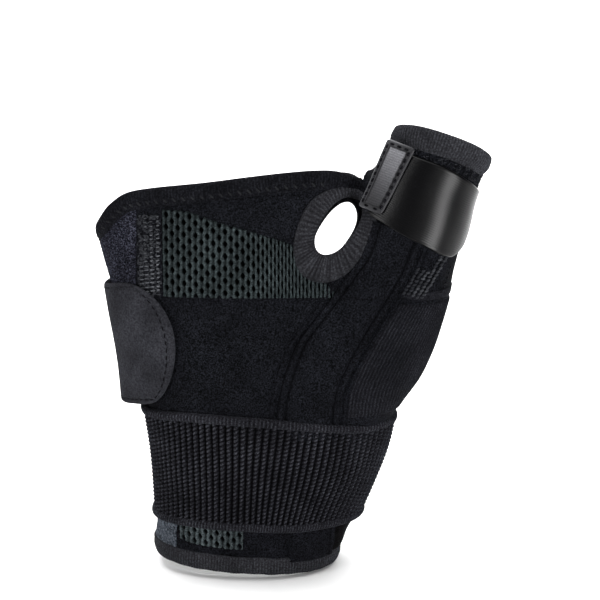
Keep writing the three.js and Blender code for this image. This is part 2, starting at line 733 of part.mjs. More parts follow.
const thumbAndGap = thumbShape(plug, [CLEARANCE], TAPE);
const fingerTapeAndGap = handEdgeTape(fingerEdge, -1, 1.7 * CLEARANCE).add(
  handEdgeTape(fingerEdge, -1, CLEARANCE),
);
const tabAndGap = thumbStrapTab(CLEARANCE);
addPiece("sleeve", sleeve.subtract(meshRecess()), 0x1b1c20, 0.95);
addPiece(
  "finger_edge_tape",
  handEdgeTape(fingerEdge, -1).subtract(thumbAndGap).subtract(tabAndGap),
  0x2a2b2f,
  0.9,
);
addPiece("wrist_edge_tape", handEdgeTape(hemEdge, 1), 0x2a2b2f, 0.9);
addPiece("thumb_edge_tape", thumbEdgeTape(), 0x242529, 0.9);
addPiece(
  "web_tape_palm",
  webTape(-1).subtract(fingerTapeAndGap).subtract(thumbStrap(CLEARANCE)).subtract(tabAndGap),
  0x2a2b2f,
  0.9,
);
addPiece("web_tape_back", webTape(1).subtract(fingerTapeAndGap), 0x2a2b2f, 0.9);
addPiece("mesh_panel", meshPanel(), 0x2c3330, 0.8);
addPiece("stay_pocket", stayPocket(), 0x191a1d, 0.95);
addPiece("wrist_strap", wristStrap(0), 0x222326, 0.85);
addPiece("palm_strap", palmStrap(), 0x2b2c30, 0.9);
addPiece("thumb_strap", thumbStrap(0), 0x15161a, 0.45);
addPiece("thumb_strap_tab", thumbStrapTab(0), 0x2a2a2e, 0.5);

export default group;
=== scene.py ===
import math

import bpy
import numpy as np
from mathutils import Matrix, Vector


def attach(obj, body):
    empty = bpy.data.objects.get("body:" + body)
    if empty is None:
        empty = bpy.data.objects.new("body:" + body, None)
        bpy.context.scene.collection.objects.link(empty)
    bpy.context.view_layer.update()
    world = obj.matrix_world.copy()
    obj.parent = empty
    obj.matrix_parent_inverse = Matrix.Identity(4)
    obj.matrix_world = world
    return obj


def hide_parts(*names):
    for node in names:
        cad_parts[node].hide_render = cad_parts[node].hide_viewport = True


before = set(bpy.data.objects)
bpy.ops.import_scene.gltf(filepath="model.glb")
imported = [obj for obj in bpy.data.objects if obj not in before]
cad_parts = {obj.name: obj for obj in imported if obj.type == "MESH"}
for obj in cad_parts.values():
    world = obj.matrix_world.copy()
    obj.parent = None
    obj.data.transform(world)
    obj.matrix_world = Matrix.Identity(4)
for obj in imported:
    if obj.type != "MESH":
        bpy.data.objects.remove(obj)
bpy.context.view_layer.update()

# Sizes in millimetres, the same as the CAD part's; mesh_object turns them into metres.
SLEEVE_HEIGHT = 142
HAND_WIDTH = 100
HAND_DEPTH = 44
THUMB_LENGTH = 106
THUMB_WIDTH = 33.4
THUMB_DEPTH = 28
THUMB_SPREAD = math.radians(17.3)
THUMB_FORWARD = math.radians(3.5)
THUMB_MOUTH_RISE = 4
THUMB_MOUTH_DROP = 0.6
EDGE_TAPE_WIDTH = 5.4
THUMB_TAPE_WIDTH = 6.6
WEB_LENGTH = 25.6
WEB_WIDTH = 13.5
WEB_LEAN = math.radians(33)
WEB_BACK_SLOPE = 0.21
WEB_TAPE_WIDTH = 6
WEB_TAPE_LOW_EXTRA = 3.1
WEB_TAPE_LOW_TURN = 0.3
WEB_TAPE_TOP_WIDTH = 1.6
WEB_CENTRE = (0.3025 * HAND_WIDTH, 0.861 * SLEEVE_HEIGHT)
WRIST_STRAP_WIDTH = 43
PALM_STRAP_WIDTH = 44.5
PALM_STRAP_REACH = 0.9
PALM_STRAP_STANDOFF = 8
PALM_STRAP_TOP_STANDOFF = 1.6
PALM_TAB_ROUNDING = 16
PALM_TAB_SKEW = 0.019
PALM_TAB_START = 0.68
TAB_WIDTH = 10.7
TAB_LOW_WIDTH = 8.9
TAB_TILT = math.radians(25)
BLEND = 9.0
TAU = 2 * np.pi


def table(names, *rows):
    return [dict(zip(names.split(), row)) for row in rows]


# Sections, edges and runs. The numbers are shares of the width, depth, height, length or turn they
# belong to; square is the power of the outline's curve.
HAND_SECTIONS = table(
    "rise ulnar radial palm back square",
    (-0.06, 0.335, 0.28, 0.48, 0.48, 2.2),
    (0.0, 0.35, 0.302, 0.49, 0.49, 2.2),
    (0.045, 0.36, 0.33, 0.5, 0.49, 2.2),
    (0.14, 0.352, 0.39, 0.52, 0.48, 2.25),
    (0.27, 0.362, 0.47, 0.565, 0.468, 2.3),
    (0.4, 0.382, 0.5, 0.59, 0.455, 2.4),
    (0.53, 0.42, 0.51, 0.58, 0.445, 2.4),
    (0.67, 0.478, 0.49, 0.545, 0.432, 2.4),
    (0.81, 0.53, 0.455, 0.51, 0.42, 2.4),
    (0.9, 0.549, 0.425, 0.48, 0.41, 2.4),
    (1.0, 0.546, 0.395, 0.445, 0.39, 2.4),
    (1.08, 0.556, 0.37, 0.43, 0.38, 2.4),
)
THUMB_SECTIONS = table(
    "along web radial palm back square",
    (0.0, 0.6, 0.2, 0.43, 0.4, 2.1),
    (0.085, 0.75, 0.365, 0.55, 0.53, 2.1),
    (0.208, 0.84, 0.54, 0.7, 0.61, 2.1),
    (0.321, 0.84, 0.593, 0.75, 0.65, 2.1),
    (0.434, 0.82, 0.593, 0.75, 0.65, 2.1),
    (0.538, 0.8, 0.572, 0.71, 0.62, 2.15),
    (0.623, 0.77, 0.533, 0.66, 0.58, 2.2),
    (0.717, 0.69, 0.508, 0.61, 0.54, 2.25),
    (0.811, 0.605, 0.49, 0.57, 0.51, 2.3),
    (0.906, 0.55, 0.474, 0.54, 0.48, 2.3),
    (1.0, 0.49, 0.495, 0.515, 0.465, 2.3),
    (1.1, 0.48, 0.5, 0.51, 0.46, 2.3),
)
FINGER_EDGE = table(
    "across palm back",
    (-0.56, 0.85, 0.85),
    (-0.53, 0.888, 0.878),
    (-0.49, 0.927, 0.9),
    (-0.42, 0.958, 0.915),
    (-0.14, 0.985, 0.93),
    (0.14, 1.008, 0.952),
    (0.29, 1.009, 0.978),
    (0.36, 0.992, 0.978),
    (0.42, 0.95, 0.95),
)
HEM_RISE_ULNAR = 0.019
HEM_RISE_RADIAL = -0.004
THUMB_ROOT = np.array([0.348 * HAND_WIDTH, -0.082 * HAND_DEPTH, 0.368 * SLEEVE_HEIGHT])
WRIST_STRAP_RUN = table(
    "across middle width",
    (-0.36, 0.266, 0.98),
    (-0.2, 0.274, 1.0),
    (0.0, 0.269, 0.987),
    (0.2, 0.257, 0.951),
    (0.34, 0.251, 0.9),
    (0.47, 0.252, 0.9),
)
PALM_STRAP_RUN = table(
    "along turn off low width",
    (0.0, 0.245, 0.0, 0.46, 0.82),
    (0.3, 0.36, 0.02, 0.45, 0.87),
    (0.5, 0.435, 0.3, 0.431, 0.95),
    (0.62, 0.49, 0.94, 0.417, 0.985),
    (0.66, 0.51, 0.94, 0.417, 0.985),
    (0.76, 0.555, 0.42, 0.427, 0.983),
    (0.88, 0.614, 0.1, 0.441, 0.979),
    (1.0, 0.665, 0.0, 0.45, 0.976),
)
THUMB_STRAP_RUN = table(
    "turn low high",
    (0.6, 0.725, 0.955),
    (0.66, 0.718, 0.955),
    (0.75, 0.694, 0.952),
    (0.875, 0.672, 0.922),
    (0.94, 0.695, 0.905),
    (1.0, 0.725, 0.893),
    (1.15, 0.72, 0.885),
    (1.28, 0.72, 0.885),
)
THUMB_TAB = {"low": 0.744, "high": 0.977, "turn_low": 0.66, "turn_high": 0.671}
MESH_PANEL_TOP = table(
    "across rise",
    (-0.31, 0.93),
    (-0.22, 0.925),
    (-0.12, 0.902),
    (0.056, 0.866),
    (0.159, 0.837),
    (0.22, 0.78),
    (0.285, 0.735),
)
MESH_PANEL_LOW = 0.712
# The two seams of the stay pocket, from below: height as a share of SLEEVE_HEIGHT, and the place of
# the seam on the palm side and on the outer side as shares of HAND_WIDTH.
STAY_SEAMS = table(
    "rise inner outer",
    (0.36, 0.085, 0.306),
    (0.43, 0.087, 0.313),
    (0.49, 0.101, 0.328),
    (0.547, 0.124, 0.361),
    (0.604, 0.158, 0.402),
    (0.66, 0.216, 0.445),
    (0.715, 0.276, 0.492),
    (0.759, 0.33, 0.529),
    (0.801, 0.381, 0.56),
    (0.9, 0.43, 0.61),
)


def read_table(table, key, at):
    """Cubic interpolation of every column of a table at places along its first column."""
    xs = np.array([row[key] for row in table], float)
    at = np.clip(np.asarray(at, float), xs[0], xs[-1])
    i = np.clip(np.searchsorted(xs, at, "right") - 1, 0, len(xs) - 2)
    before, after = np.maximum(i - 1, 0), np.minimum(i + 2, len(xs) - 1)
    span = xs[i + 1] - xs[i]
    t = (at - xs[i]) / span
    out = {key: at}
    for column in table[0]:
        if column == key:
            continue
        y = np.array([row[column] for row in table], float)
        slope_in = (y[i + 1] - y[before]) / (xs[i + 1] - xs[before])
        slope_out = (y[after] - y[i]) / (xs[after] - xs[i])
        out[column] = (
            (2 * t**3 - 3 * t**2 + 1) * y[i]
            + (t**3 - 2 * t**2 + t) * span * slope_in
            + (3 * t**2 - 2 * t**3) * y[i + 1]
            + (t**3 - t**2) * span * slope_out
        )
    return out


def mix(a, b, t):
    return a + (b - a) * t


def smooth(low, high, x):
    t = np.clip((x - low) / (high - low), 0, 1)
    return t * t * (3 - 2 * t)


def outline_at(sections, key, at, sides, width, depth):
    """An outline's reach to its two sides, to the palm and to the back, and its squareness."""
    row = read_table(sections, key, at)
    reach = [row[side] * width for side in sides]
    return *reach, row["palm"] * depth, row["back"] * depth, row["square"]


def hand_outline(z):
    share = np.asarray(z) / SLEEVE_HEIGHT
    return outline_at(HAND_SECTIONS, "rise", share, ("ulnar", "radial"), HAND_WIDTH, HAND_DEPTH)


def thumb_outline(along):
    share = np.asarray(along) / THUMB_LENGTH
    return outline_at(THUMB_SECTIONS, "along", share, ("web", "radial"), THUMB_WIDTH, THUMB_DEPTH)


def outline_point(outline, angle, offset):
    minus, plus, front, rear, square = outline
    c, s = np.cos(angle), np.sin(angle)
    power = 2 / square
    across = np.where(c < 0, minus, plus) + offset
    deep = np.where(s < 0, front, rear) + offset
    return across * np.sign(c) * np.abs(c) ** power, deep * np.sign(s) * np.abs(s) ** power


def outline_distance(outline, a, b):
    minus, plus, front, rear, n = outline
    across = np.where(a < 0, minus, plus)
    deep = np.where(b < 0, front, rear)
    pa, pb = np.abs(a) / across, np.abs(b) / deep
    r = np.maximum((pa**n + pb**n) ** (1 / n), 0.05)
    slope = np.hypot(pa ** (n - 1) / across, pb ** (n - 1) / deep) * r ** (1 - n)
    return (r - 1) / np.maximum(slope, 1e-4)


# The thumb tube's own axes: along it, across it and towards the back
AXIS = math.cos(THUMB_FORWARD) * np.array([math.sin(THUMB_SPREAD), 0, math.cos(THUMB_SPREAD)])
AXIS[1] = -math.sin(THUMB_FORWARD)
ACROSS = np.array([math.cos(THUMB_SPREAD), 0, -math.sin(THUMB_SPREAD)])
BACKWARD = np.cross(AXIS, ACROSS)


def hand_point(angle, z, offset):
    angle, z, offset = np.broadcast_arrays(angle, z, offset)
    x, y = outline_point(hand_outline(z), angle, offset)
    return np.stack([x, y, np.asarray(z, float)], -1)


def thumb_point(angle, along, offset):
    angle, along, offset = np.broadcast_arrays(angle, along, offset)
    a, b = outline_point(thumb_outline(along), angle, offset)
    return THUMB_ROOT + along[..., None] * AXIS + a[..., None] * ACROSS + b[..., None] * BACKWARD


def hand_distance(p):
    return outline_distance(hand_outline(p[..., 2]), p[..., 0], p[..., 1])


def thumb_frame(p):
    q = p - THUMB_ROOT
    return q @ AXIS, q @ ACROSS, q @ BACKWARD


def thumb_distance(p):
    along, a, b = thumb_frame(p)
    beside = outline_distance(thumb_outline(along), a, b)
    return np.maximum(np.maximum(beside, -along), along - THUMB_LENGTH * 1.1)


def cloth_distance(p):
    """Distance outside the sleeve, with the crease between hand and thumb rounded off."""
    a, b = hand_distance(p), thumb_distance(p)
    h = np.maximum(BLEND - np.abs(a - b), 0) / BLEND
    return np.minimum(a, b) - h * h * BLEND / 4


def cloth_normal(p, step=0.4):
    ends = [(p + step * axis, p - step * axis) for axis in np.eye(3)]
    g = np.stack([cloth_distance(a) - cloth_distance(b) for a, b in ends], -1)
    return g / np.maximum(np.linalg.norm(g, axis=-1, keepdims=True), 1e-9)


def settle(p, rounds=6):
    """Moves points onto the sleeve's outer face."""
    for _ in range(rounds):
        p = p - np.clip(cloth_distance(p), -2, 2)[..., None] * cloth_normal(p)
    return p


def cast(start, direction, reach=45.0):
    """Where rays that start inside the sleeve leave its outer face."""
    start, direction = np.broadcast_arrays(start, direction)
    low, high = np.zeros(start.shape[:-1]), np.full(start.shape[:-1], reach)
    for _ in range(30):
        middle = (low + high) / 2
        out = cloth_distance(start + middle[..., None] * direction) > 0
        high = np.where(out, middle, high)
        low = np.where(out, low, middle)
    return start + high[..., None] * direction


def face_point(x, z, side=-1):
    """The sleeve's outer face over points of the XZ plane, on the palm side or the back."""
    x, z = np.broadcast_arrays(np.asarray(x, float), np.asarray(z, float))
    return cast(np.stack([x, 0 * x, z], -1), np.array([0.0, side, 0.0]))


def lengths(line):
    return np.concatenate([[0], np.cumsum(np.linalg.norm(np.diff(line, axis=0), axis=1))])


def resample(line, at, s):
    return np.stack([np.interp(at, s, line[:, i]) for i in range(line.shape[1])], -1)


def wrapped(z, centre, first, last, start_x, length, columns):
    """Rows of points round the sleeve at heights z, evenly spaced from the place where x passes
    start_x. The rays turn about x = centre, from angle first to angle last, in degrees."""
    angle = np.radians(np.linspace(first, last, 240))
    direction = np.stack([np.cos(angle), np.sin(angle), 0 * angle], -1)
    start = np.stack([0 * z + centre, 0 * z, z], -1)
    rings = cast(start[:, None], direction[None])
    rows = []
    for ring, begin in zip(rings, start_x):
        s = lengths(ring)
        at = s[np.argmax(np.sign(last - first) * (ring[:, 0] - begin) >= 0)]
        rows.append(resample(ring, at + np.linspace(0, length, columns), s))
    return np.array(rows)


def on_palm(x, z, off=0.0, side=-1):
    p = face_point(x, z, side)
    return p + np.asarray(off)[..., None] * cloth_normal(p)


def finger_edge(x, y):
    row = read_table(FINGER_EDGE, "across", x / HAND_WIDTH)
    backness = np.clip(0.5 + y / (HAND_DEPTH * 0.7), 0, 1)
    return mix(row["palm"], row["back"], backness) * SLEEVE_HEIGHT


def hem_edge(x, y=0):
    """The height of the hem at x; it is level from front to back, so y isn't used."""
    share = (x / HAND_WIDTH + 0.35) / 0.67
    return mix(HEM_RISE_ULNAR, HEM_RISE_RADIAL, share) * SLEEVE_HEIGHT


def edge_height(edge, angle):
    z = np.full(np.shape(angle), float(edge(0.0, 0.0)))
    for _ in range(40):
        p = hand_point(angle, z, 0)
        z = mix(z, edge(p[..., 0], p[..., 1]), 0.5)
    return z


def thumb_mouth(angle):
    return THUMB_LENGTH - THUMB_MOUTH_RISE * np.sin(angle) - THUMB_MOUTH_DROP * np.cos(angle)


def web_point(u, margin):
    turn = TAU * u
    long = (WEB_LENGTH / 2 + margin) * np.cos(turn)
    short = (WEB_WIDTH / 2 + margin) * np.sin(turn)
    x = WEB_CENTRE[0] + long * math.sin(WEB_LEAN) - short * math.cos(WEB_LEAN)
    z = WEB_CENTRE[1] + long * math.cos(WEB_LEAN) + short * math.sin(WEB_LEAN)
    return x, z


def bell(x, middle, width):
    """A rise of 1 at the middle that dies away on both sides."""
    return np.exp(-(((x - middle) / width) ** 2))


# Meshes
def mesh_object(name, vertices, faces, material, tone=None):
    """A smooth mesh from points in millimetres; tone is one number a point, for the material."""
    mesh = bpy.data.meshes.new(name)
    v = np.asarray(vertices, float).reshape(-1, 3) / 1000
    f = np.asarray(faces, np.int64)
    mesh.vertices.add(len(v))
    mesh.vertices.foreach_set("co", v.ravel())
    mesh.loops.add(f.size)
    mesh.loops.foreach_set("vertex_index", f.ravel())
    mesh.polygons.add(len(f))
    mesh.polygons.foreach_set("loop_start", np.arange(len(f)) * f.shape[1])
    mesh.polygons.foreach_set("use_smooth", np.full(len(f), True))
    mesh.update(calc_edges=True)
    mesh.validate()
    if tone is not None:
        layer = mesh.attributes.new("tone", "FLOAT", "POINT")
        layer.data.foreach_set("value", np.asarray(tone, np.float32).ravel())
    for m in material if isinstance(material, list) else [material]:
        mesh.materials.append(m)
    obj = bpy.data.objects.new(name, mesh)
    bpy.context.scene.collection.objects.link(obj)
    return obj


def grid_faces(columns, rows, close_columns=False, close_rows=False, flip=False):
    i = np.arange(columns if close_columns else columns - 1)
    j = np.arange(rows if close_rows else rows - 1)
    i, j = [a.ravel() for a in np.meshgrid(i, j, indexing="ij")]
    first, second = (i % columns) * rows, ((i + 1) % columns) * rows
    low, high = j % rows, (j + 1) % rows
    quads = np.stack([first + low, second + low, second + high, first + high], -1)
    return quads[:, ::-1] if flip else quads


def compact(faces):
    """The vertices that faces use, and the faces numbered by them."""
    used, numbered = np.unique(faces, return_inverse=True)
    return used, numbered.reshape(faces.shape)


# How far each of a stitch's five points stands up, as a share of its arch
ARCH = np.array([-1.0, 0.6, 1.0, 0.6, -1.0])


def threads(name, paths, radius, material, slot, tones=None, sides=6):
    """A piece of closed round threads along point lists, with a tone for each thread."""
    tones = np.zeros(len(paths)) if tones is None else tones
    all_v, all_f, count = [], [], 0
    angle = np.linspace(0, TAU, sides, endpoint=False)
    for path in paths:
        n = len(path)
        tangent = np.gradient(path, axis=0)
        tangent /= np.maximum(np.linalg.norm(tangent, axis=1, keepdims=True), 1e-9)
        helper = np.where(np.abs(tangent[:, 1:2]) < 0.8, [[0.0, 1.0, 0.0]], [[1.0, 0.0, 0.0]])
        side = np.cross(tangent, helper)
        side /= np.maximum(np.linalg.norm(side, axis=1, keepdims=True), 1e-9)
        up = np.cross(side, tangent)
        r = np.full(n, radius)
        r[0] = r[-1] = radius * 0.35
        around = np.cos(angle)[:, None] * side[:, None] + np.sin(angle)[:, None] * up[:, None]
        all_v.append((path[:, None] + r[:, None, None] * around).reshape(-1, 3))
        all_f.append(grid_faces(n, sides, close_rows=True) + count)
        for first in (count, count + (n - 1) * sides):
            for a in range(1, sides - 2, 2):
                all_f.append(np.array([[first, first + a, first + a + 1, first + a + 2]]))
        count += n * sides
    tone = np.concatenate([np.full(len(v), t) for v, t in zip(all_v, tones)])
    ride(mesh_object(name, np.concatenate(all_v), np.concatenate(all_f), material, tone), slot)


def stitch_paths(line, normals, length, gap, lift, arch=0.25, period=None, phase=0.5):
    """Short arched stitches along a line of points, each a path of five points."""
    s = lengths(line)
    count = max(int(s[-1] / (period or length + gap)), 1)
    paths = []
    for k in range(count):
        middle = (k + phase) * s[-1] / count
        at = np.linspace(middle - length / 2, middle + length / 2, 5)
        rise = lift + arch * ARCH
        paths.append(resample(line, at, s) + resample(normals, at, s) * rise[:, None])
    return paths


def ride(obj, slot, *nodes):
    """Fixes a piece to the part and hides the CAD nodes that it stands for; slot is not used."""
    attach(obj, "root")
    if nodes:
        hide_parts(*nodes)


# Materials
def new_material(name):
    material = bpy.data.materials.new(name)
    material.use_nodes = True
    tree = material.node_tree
    return material, tree, tree.nodes["Principled BSDF"]


def set_inputs(tree, node, inputs):
    """Sets each input of a shader node to a value, or links another node's output to it."""
    for socket, value in inputs.items():
        if isinstance(value, bpy.types.NodeSocket):
            tree.links.new(value, node.inputs[socket])
        else:
            node.inputs[socket].default_value = value
    return node


def colour_mix(tree, factor, a, b, blend_type="MIX"):
    node = tree.nodes.new("ShaderNodeMix")
    node.data_type = "RGBA"
    node.blend_type = blend_type
    return set_inputs(tree, node, {"Factor": factor, "A": a, "B": b}).outputs["Result"]


WEAR_SCALE = 90
WEAR = 0.3
FIBRE_HEIGHT = 0.0004


def fabric(name, dark, light, grain=0.8, low=0.4, high=0.66, bump=0.5, roughness=0.95, specular=0.03,
           tone_dark=None):
    """A cloth: speckle between two colours with a grain in millimetres, a slow cloud of wear, fibre
    bump, and where tone_dark is given a darkening by the mesh's tone."""
    material, tree, shader = new_material(name)

    def node(kind, inputs):
        return set_inputs(tree, tree.nodes.new("ShaderNode" + kind), inputs)

    place = node("TexCoord", {}).outputs["Object"]
    noise = {"Vector": place, "Scale": 1000 / grain, "Detail": 2.5, "Roughness": 0.7}
    speckle = node("TexNoise", noise).outputs["Fac"]
    cloud = node("TexNoise", {"Vector": place, "Scale": WEAR_SCALE, "Detail": 4}).outputs["Fac"]
    contrast = node("MapRange", {"Value": speckle, "From Min": low, "From Max": high})
    wear = node("MapRange", {"Value": cloud, "From Min": 0.3, "From Max": 0.7,
                             "To Min": 1 - WEAR, "To Max": 1 + WEAR})
    colour = colour_mix(tree, contrast.outputs["Result"], (*dark, 1), (*light, 1))
    colour = colour_mix(tree, 1, colour, wear.outputs["Result"], "MULTIPLY")
    if tone_dark is not None:
        tone = tree.nodes.new("ShaderNodeAttribute")
        tone.attribute_name = "tone"
        colour = colour_mix(tree, tone.outputs["Fac"], (*tone_dark, 1), colour)
    relief = node("Bump", {"Height": speckle, "Strength": bump, "Distance": FIBRE_HEIGHT})
    set_inputs(tree, shader, {"Base Color": colour, "Normal": relief.outputs["Normal"],
                              "Roughness": roughness, "Specular IOR Level": specular})
    return material


FLEECE_LOOK = {
    "dark": (0.0003, 0.0004, 0.0006), "light": (0.0116, 0.0124, 0.016),
    "grain": 0.5, "low": 0.42, "high": 0.72, "bump": 0.8,
}
FLEECE = fabric("fleece", **FLEECE_LOOK)
# The fleece again, with a near-black tone_dark for painted shade in the stay channel's creases and painted
# shadow past the hem flap's edge.
FLEECE_WITH_PAINTED_SHADE = fabric("fleece_with_painted_shade", **FLEECE_LOOK, tone_dark=(0.0002, 0.0002, 0.0003))
LINING = fabric("lining", (0.004, 0.004, 0.005), (0.012, 0.012, 0.014))
PILE = fabric("loop_pile", (0.0015, 0.0016, 0.003), (0.058, 0.06, 0.083), grain=0.5, low=0.44,
              bump=0.9, tone_dark=(0.0008, 0.0008, 0.0014))
# The low side panel's light bluish colour: partly the panel's own colour, partly painted light for the rim
# light on the sleeve's lower side.
JERSEY_WITH_PAINTED_LIGHT = fabric("jersey_with_painted_rim_light", (0.022, 0.026, 0.032), (0.115, 0.133, 0.16), grain=0.5, low=0.35, high=0.7,
                tone_dark=(0.003, 0.003, 0.004))
TAPE = fabric("ribbed_tape", (0.012, 0.0122, 0.014), (0.038, 0.039, 0.045), grain=0.6, bump=0.35,
              tone_dark=(0.003, 0.003, 0.0035))
DARK_TAPE = fabric("dark_tape", (0.001, 0.0011, 0.0015), (0.011, 0.0115, 0.0145), grain=0.6, bump=0.4,
                   tone_dark=(0.0012, 0.0012, 0.0016))
# The dark end of the net's tone: the black fleece and painted shade seen in the holes, and painted shade
# along the panels' sunk edges.
NET_HOLE_DARK = (0.0004, 0.0006, 0.0007)
NET = fabric("net", (0.01, 0.0132, 0.014), (0.044, 0.056, 0.059), grain=0.45, bump=0.4,
             tone_dark=NET_HOLE_DARK)
# A lighter copy of the net's colours for the net above the hem: painted light, making up for the shade of
# the wrist strap and the hem.
LOWER_NET = fabric("lower_net", (0.018, 0.0225, 0.024), (0.07, 0.086, 0.091), grain=0.45, bump=0.4,
                   tone_dark=NET_HOLE_DARK)
# Its tone runs from painted shade between the knit's ropes and beads to painted highlight on the bead tops.
KNIT = fabric("elastic_knit", (0.007, 0.0072, 0.009), (0.04, 0.041, 0.049), grain=0.5,
              tone_dark=(0.0004, 0.0004, 0.0006))
RIBBED = fabric("rib_knit", (0.003, 0.0032, 0.0042), (0.017, 0.0175, 0.0215), grain=0.5,
                tone_dark=(0.0006, 0.0006, 0.0009))
SUEDE = fabric("suede", (0.0062, 0.0065, 0.008), (0.0245, 0.025, 0.0295), grain=0.7, low=0.3, high=0.7)
THREAD = fabric("light_thread", (0.08, 0.085, 0.092), (0.28, 0.29, 0.32), grain=0.4, bump=0.2,
                tone_dark=(0.01, 0.0105, 0.0125))
STRAP_THREAD = fabric("strap_thread", (0.08, 0.085, 0.092), (0.2, 0.21, 0.23), grain=0.4, bump=0.2,
                      tone_dark=(0.0025, 0.0025, 0.003))
DARK_THREAD = fabric("dark_thread", (0.001, 0.001, 0.0013), (0.006, 0.006, 0.0075), grain=0.5, bump=0.2)
SATIN = fabric("satin", (0.0002, 0.0002, 0.0004), (0.0008, 0.0008, 0.0013), grain=0.6, bump=0.05,
               roughness=0.29, specular=0.16, tone_dark=(0.0005, 0.0005, 0.0007))
# The tab's pale grey is painted reflection: the tab is the end of the black satin strap.
PAINTED_SHEEN_SATIN = fabric("satin_painted_sheen", (0.07, 0.07, 0.078), (0.2, 0.2, 0.215), grain=0.4, low=0.2, high=0.8,
               bump=0.1, roughness=0.4, specular=0.12, tone_dark=(0.004, 0.004, 0.005))


# Sleeve: the two tubes run together, cut at their edges and at the web opening, and given a wall
def closed_tube(name, points):
    """The tube over a grid of points, closed at both ends by fans of triangles."""
    columns, rows = points.shape[:2]
    v = np.concatenate([points.reshape(-1, 3), points[:, 0].mean(0)[None], points[:, -1].mean(0)[None]])
    caps = []
    for k in range(columns):
        a, b = k * rows, ((k + 1) % columns) * rows
        caps.append([columns * rows, b, a])
        caps.append([columns * rows + 1, a + rows - 1, b + rows - 1])
    faces = grid_faces(columns, rows, close_columns=True).tolist()
    mesh = bpy.data.meshes.new(name)
    mesh.from_pydata((v / 1000).tolist(), [], faces + caps)
    obj = bpy.data.objects.new(name, mesh)
    bpy.context.scene.collection.objects.link(obj)
    return obj


def joined_form():
    """One even net of squares over the hand tube and the thumb tube joined."""
    turn = np.linspace(0, TAU, 120, endpoint=False)[:, None]
    height = np.linspace(-5, SLEEVE_HEIGHT * 1.06, 60)[None]
    along = np.linspace(0.5, THUMB_LENGTH * 1.07, 50)[None]
    hand = closed_tube("hand_form", hand_point(turn, height, 0))
    thumb = closed_tube("thumb_form", thumb_point(turn, along, 0))
    union = hand.modifiers.new("union", "BOOLEAN")
    union.operation = "UNION"
    union.solver = "EXACT"
    union.object = thumb
    squares = hand.modifiers.new("squares", "REMESH")
    squares.mode = "VOXEL"
    squares.voxel_size = 0.001
    made = bpy.data.meshes.new_from_object(hand.evaluated_get(bpy.context.evaluated_depsgraph_get()))
    v = np.zeros(len(made.vertices) * 3)
    made.vertices.foreach_get("co", v)
    f = np.zeros(len(made.polygons) * 4, np.int64)
    made.polygons.foreach_get("vertices", f)
    for obj in (hand, thumb):
        bpy.data.objects.remove(obj)
    return v.reshape(-1, 3) * 1000, f.reshape(-1, 4)


MESH_PANEL_LEFT = -30.6
MESH_PANEL_RIGHT = 29
LOWER_NET_LEFT = -26.8
LOWER_NET_RIGHT = -3
LOWER_NET_TOP = 19.5
PANEL_SINK = 1.2


def main_panel_edge(x, z):
    """How far a place lies inside the net panel of the palm."""
    top = read_table(MESH_PANEL_TOP, "across", x / HAND_WIDTH)["rise"] * SLEEVE_HEIGHT
    low = MESH_PANEL_LOW * SLEEVE_HEIGHT
    return np.minimum.reduce([x - MESH_PANEL_LEFT, MESH_PANEL_RIGHT - x, top - z, z - low])


LOWER_NET_EDGE = table(
    "x z",
    (-31.2, 13.2),
    (-27.1, 11.3),
    (-19.1, 9.8),
    (-3.0, 8.9),
    (3.0, 8.7),
)


def lower_net_edge(x, z):
    """How far a place lies inside the net panel above the hem."""
    low = read_table(LOWER_NET_EDGE, "x", x)["z"]
    return np.minimum.reduce([x - LOWER_NET_LEFT, LOWER_NET_RIGHT - x, z - low, LOWER_NET_TOP - z])


def ripples(p):
    """Slow unevenness of worn cloth, and soft pulls below the wrist strap."""
    x, z = p[..., 0], p[..., 2]
    folds = 0.16 * np.sin(x * 0.21 + z * 0.09) * np.sin(z * 0.17 - x * 0.06)
    pulls = 0.3 * np.sin(x * 0.55 + z * 0.3 + 1.0) * (1 - smooth(8, 17, z)) * smooth(3, 6, z)
    return folds + pulls


SLEEVE_WALL = 2.4
BESIDE_THUMB = 2.5
THUMB_FROM_X = 30


def past_edges(v, near_thumb, finger_margin, margin):
    """The points that lie beyond the sleeve's three edges by more than a margin."""
    along, a, b = thumb_frame(v)
    above = v[:, 2] > finger_edge(v[:, 0], v[:, 1]) + finger_margin
    below = v[:, 2] < hem_edge(v[:, 0]) - margin
    out = along > thumb_mouth(np.arctan2(b, a)) + margin
    return (above & ~near_thumb) | below | (near_thumb & out)


def in_web(v):
    """The points of the web opening, which slants as it goes back."""
    x = v[:, 0] - WEB_CENTRE[0]
    z = v[:, 2] + WEB_BACK_SLOPE * v[:, 1] - WEB_CENTRE[1]
    long = x * math.sin(WEB_LEAN) + z * math.cos(WEB_LEAN)
    short = -x * math.cos(WEB_LEAN) + z * math.sin(WEB_LEAN)
    return np.hypot(long / (WEB_LENGTH / 2), short / (WEB_WIDTH / 2)) < 1


